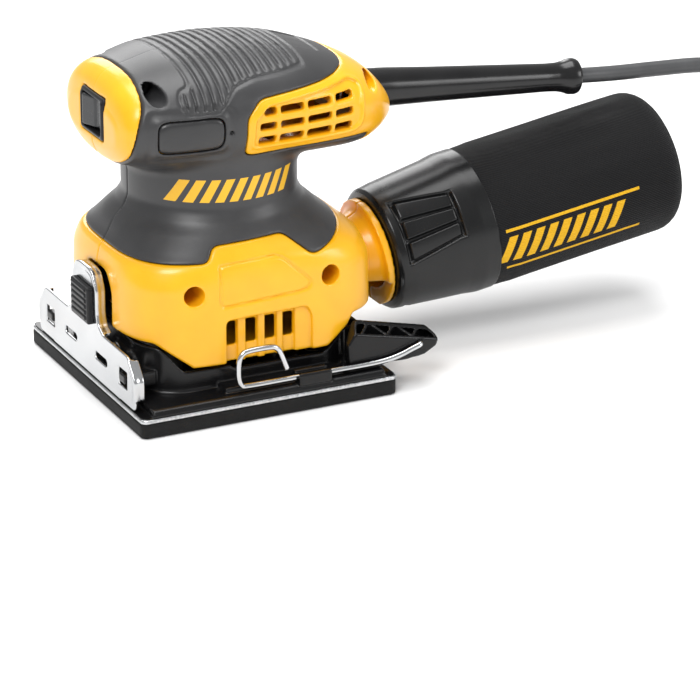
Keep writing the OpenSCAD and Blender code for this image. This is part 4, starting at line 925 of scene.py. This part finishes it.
def bag_mesh():
    """Cloth tube from inside the collar to a closed, rounded end, as a grid of points (place, angle)."""
    n = 128
    r, bend, mouth = BAG_D / 2, 9, 44.3
    s1 = BAG_L + COLLAR_L - bend
    prof = [(42.6, r - 0.9), (mouth, r - 0.7)]
    prof += [(mouth + (s1 - mouth) * i / 44, r - 0.7 + 0.7 * min(i / 5, 1)) for i in range(1, 45)]
    corner = [math.pi / 2 * i / 8 for i in range(1, 9)]
    prof += [(s1 + bend * math.sin(a), r - bend + bend * math.cos(a)) for a in corner]
    prof += [(s1 + bend + 0.02 * i, (r - bend) * (1 - i / 12)) for i in range(1, 12)]
    prof = np.array(prof)
    ang = 2 * math.pi * np.arange(n) / n
    side = np.cross(SPOUT_DIR, SPOUT_UP)
    s, rr = prof[:, 0], prof[:, 1]
    co = SPOUT + s[:, None, None] * SPOUT_DIR + rr[:, None, None] * (
        np.cos(ang)[None, :, None] * SPOUT_UP + np.sin(ang)[None, :, None] * side)
    m = len(prof)
    verts = np.concatenate([co.reshape(-1, 3), [SPOUT + (s[-1] + 0.02) * SPOUT_DIR]])
    i, k = np.meshgrid(np.arange(m - 1), np.arange(n), indexing="ij")
    j, k2 = i + 1, (k + 1) % n
    quads = np.stack([i * n + k, j * n + k, j * n + k2, i * n + k2], -1).reshape(-1, 4)
    k = np.arange(n)
    tris = np.stack([(m - 1) * n + k, np.full(n, m * n), (m - 1) * n + (k + 1) % n], -1)
    o = mesh_object("bag", verts * MM, quads, tris)
    flat = np.concatenate([[0], np.cumsum(np.hypot(np.diff(s), np.diff(rr)))])
    return o, n, m, flat, r


def bag_uv(o, n, m, flat, r):
    """The cloth's own flat coordinates, in tenths of a metre: along the bag, and round it from the top."""
    uv = o.data.uv_layers.new(name="cloth")
    idx = np.zeros(len(o.data.loops), np.int32)
    o.data.loops.foreach_get("vertex_index", idx)
    row, col = np.minimum(idx // n, m - 1), idx % n
    ang = col * 2 * math.pi / n
    poly = np.repeat(np.arange(len(o.data.polygons)), [p.loop_total for p in o.data.polygons])
    big = np.zeros(len(o.data.polygons), bool)
    np.logical_or.at(big, poly, ang > 1.5 * math.pi)
    ang = np.where((ang < 0.1) & big[poly], ang + 2 * math.pi, ang)
    v = (ang - math.pi) * r / 100
    out = np.stack([flat[row] / 100, v], 1).astype(np.float32)
    uv.data.foreach_set("uv", out.ravel())


SETTLE = 36
bag, bn, bm, bflat, br = bag_mesh()
pins = bag.vertex_groups.new(name="pins")
pins.add(list(range(4 * bn)), 1.0, "REPLACE")
cloth = bag.modifiers.new("cloth", "CLOTH")
cs = cloth.settings
cs.vertex_group_mass = "pins"
cs.quality = 7
cs.mass = 0.00012
cs.tension_stiffness = 12
cs.compression_stiffness = 12
cs.shear_stiffness = 6
cs.bending_stiffness = 0.35
cs.use_pressure = True
cs.uniform_pressure_force = 0.45
cs.shrink_min = 0.004
cloth.point_cache.frame_start = 1
cloth.point_cache.frame_end = SETTLE
scene = bpy.context.scene
for f in range(1, SETTLE + 1):
    scene.frame_set(f)
dg = bpy.context.evaluated_depsgraph_get()
settled = np.zeros(len(bag.data.vertices) * 3, np.float32)
bag.evaluated_get(dg).data.vertices.foreach_get("co", settled)
bag.modifiers.clear()
scene.frame_set(1)
if np.isfinite(settled).all():
    bag.data.vertices.foreach_set("co", settled)
    bag.data.update()
bag_uv(bag, bn, bm, bflat, br)
fit(bag, ["dust_bag"], "dust_bag", "bag_cloth")

# ---------------------------------------------------------------- strain relief and cord
end = SLEEVE_L
prof = [(-12, 3.3), (-12, 8.5), (-9.8, 8.5), (-9.8, SLEEVE_R), (0, SLEEVE_R), (1.6, 7.75), (20, 7.1),
        (end - 14, 5.75), (end - 9, 5.9), (end - 6, 6.5), (end - 4, 7.25), (end - 1.6, 7.4), (end - 0.5, 7.1),
        (end, 6.4), (end, 3.3)]
o = lathe("sleeve", fine(prof, 2.0), SLEEVE, SLEEVE_DIR, np.array([0.0, 1.0, 0.0]), n=96)
fit(o, ["cord_sleeve"], "housing", "sleeve_rubber")


def coil_route():
    """Nine laps of the coil, three wide and three high, each leading into the next."""
    d = CORD_D + 0.04
    rad = [COIL_R + d, COIL_R, COIL_R - d]
    ht = [CORD_D / 2 + 2 * d, CORD_D / 2 + d, CORD_D / 2]
    order = ((0, 0), (1, 0), (2, 0), (2, 1), (2, 2), (1, 2), (1, 1), (0, 1), (0, 2))
    cells = [(rad[i], ht[k]) for i, k in order]
    pts = []
    for i, (r, z) in enumerate(cells):
        last = i == len(cells) - 1
        for a in np.arange(0, 300 if last else COIL_TURN, 5.0):
            rr, zz = r, z
            if a > 300 and not last:
                t = (a - 300) / 30
                t = t * t * (3 - 2 * t)
                rr, zz = r + (cells[i + 1][0] - r) * t, z + (cells[i + 1][1] - z) * t
            b = math.radians(-(COIL_TURN * i + a))
            pts.append((COIL_X + rr * math.cos(b), COIL_Y + rr * math.sin(b), zz))
    r, z = cells[-1]
    b = math.radians(-(8 * COIL_TURN + 300))
    pts.append((COIL_X + r * math.cos(b), COIL_Y + r * math.sin(b), z))
    return pts


lead = [(162.6, 0, 98.4), (180, -0.8, 97.4), (199, -2.6, 97.2), (218, -5.5, 97), (236, -9, 94.5),
        (254, -13, 87.5), (268, -17, 78.5), (280, -21, 68), (291, -25, 57), (302, -29.5, 46),
        (313, -35, 35.5), (323, -42, 26.5), (329.5, -51, 19.5)]
tail = [(299, -106.5, 3.2), (288.4, -112.2, 3.2), (276, -113.9, 3.6), (264, -111.8, 4.6), (252, -106.8, 6.2),
        (244, -102.6, 7.2), (238, -100.1, 7.5), (229, -99.5, 7.5)]
coil = coil_route()
path = np.concatenate([spline(lead + [coil[0]], 5)[:-1], coil, spline([coil[-1]] + tail, 4)[1:]])
cu = bpy.data.curves.new("flex", "CURVE")
cu.dimensions = "3D"
cu.bevel_depth = CORD_D / 2 * MM
cu.bevel_resolution = 6
cu.use_fill_caps = True
sp = cu.splines.new("POLY")
sp.points.add(len(path) - 1)
sp.points.foreach_set("co", np.concatenate([path * MM, np.ones((len(path), 1))], 1).ravel())
sp.use_smooth = True
flex = placed("flex", cu)
fit(flex, ["cord", "cord_coil"], "housing", "cord_rubber")

g = Grid((192.5, -119, -0.2), (238, -80, 15.4), 0.4)
side = [(0, 12), (3, 17), (10, 17.4), (20, 12), (33, 6.4)]
form = top_view(g, [(PLUG[0], PLUG[1] - 12)] + [(PLUG[0] + x, PLUG[1] + y) for x, y in side]
                + [(PLUG[0] + x, PLUG[1] - y) for x, y in side[:0:-1]], 2.0)
d = smax(form, np.abs(g.Z - PLUG[2]) - 6.9, 3.5)
for x in (14, 18, 22):
    d = d + 0.5 * step(np.abs(g.X - PLUG[0] - x) - 0.6, 0.8)
neck = rod(g, PLUG, (1, 0, 0), 5.5, 28, 41)
for x in (33.6, 36.4, 39.2):
    neck = neck + 1.2 * step(np.abs(g.X - PLUG[0] - x) - 0.45, 0.6) * (neck > -2)
d = smin(d, neck, 2.0)
d = smax(d, -rod(g, PLUG, (1, 0, 0), 3.2, 34, 60), 0.4)
plug = fit(solid("plug", g, d), ["plug_body"], "housing", "plug_rubber")
pins = frame["nodes"]["plug_pins"]

# ---------------------------------------------------------------- pieces that stay as they are
for part in frame["record"]["subparts"]:
    node = frame["nodes"][part["node"]]
    node.data.materials.clear()
    node.data.materials.append(FINISH[part["material_slot"]])

# ---------------------------------------------------------------- floor, light and camera
bpy.ops.mesh.primitive_plane_add(size=12, location=(0, 0, -0.0002))
floor = bpy.context.object
floor.name = "floor"
paper = surface(
    "floor", (0.86, 0.86, 0.86), (0.90, 0.90, 0.90), (0.55, 0.65), mottle=3, grain=(200, 0.02, 0.1))
floor.data.materials.append(paper)
world = bpy.data.worlds.new("studio")
bpy.context.scene.world = world
bpy.context.scene.view_settings.view_transform = "Standard"
world.use_nodes = True
sky = world.node_tree.nodes["Background"]
sky.inputs["Color"].default_value = (1, 1, 1, 1)
sky.inputs["Strength"].default_value = 0.5


def lamp(name, place, aim, size, power):
    """Square lamp that faces a point. Places and sizes are in metres, and power in watts."""
    data = bpy.data.lights.new(name, "AREA")
    data.energy = power
    data.shape = "SQUARE"
    data.size = size
    o = placed(name, data)
    o.location = place
    o.rotation_euler = (Vector(aim) - Vector(place)).to_track_quat("-Z", "Y").to_euler()


lamp("key", (-0.9, -0.9, 1.5), (0.02, 0, 0.06), 0.8, 22)
lamp("top", (0.1, 0.3, 1.6), (0.05, 0, 0.06), 1.2, 24)
lamp("fill", (1.3, -1.2, 0.7), (0.06, 0, 0.07), 0.7, 9)
lamp("rim", (0.4, 1.5, 0.8), (0.06, 0, 0.08), 0.8, 8)

# The camera: its place in metres, and its own axes
EYE = (-0.56824, -1.29806, 0.56857)
BACK = Vector((-0.4055, -0.8365, 0.3686)).normalized()
RIGHT = Vector((0.8998, -0.4362, 0.0)).normalized()
UP = BACK.cross(RIGHT)
cam = bpy.data.cameras.new("camera")
cam.lens = 197.708
cam.sensor_width = 36
cam.clip_start, cam.clip_end = 0.05, 50
camera = placed("camera", cam)
camera.matrix_world = Matrix([(RIGHT[i], UP[i], BACK[i], EYE[i]) for i in range(3)] + [(0, 0, 0, 1)])
bpy.context.scene.camera = camera
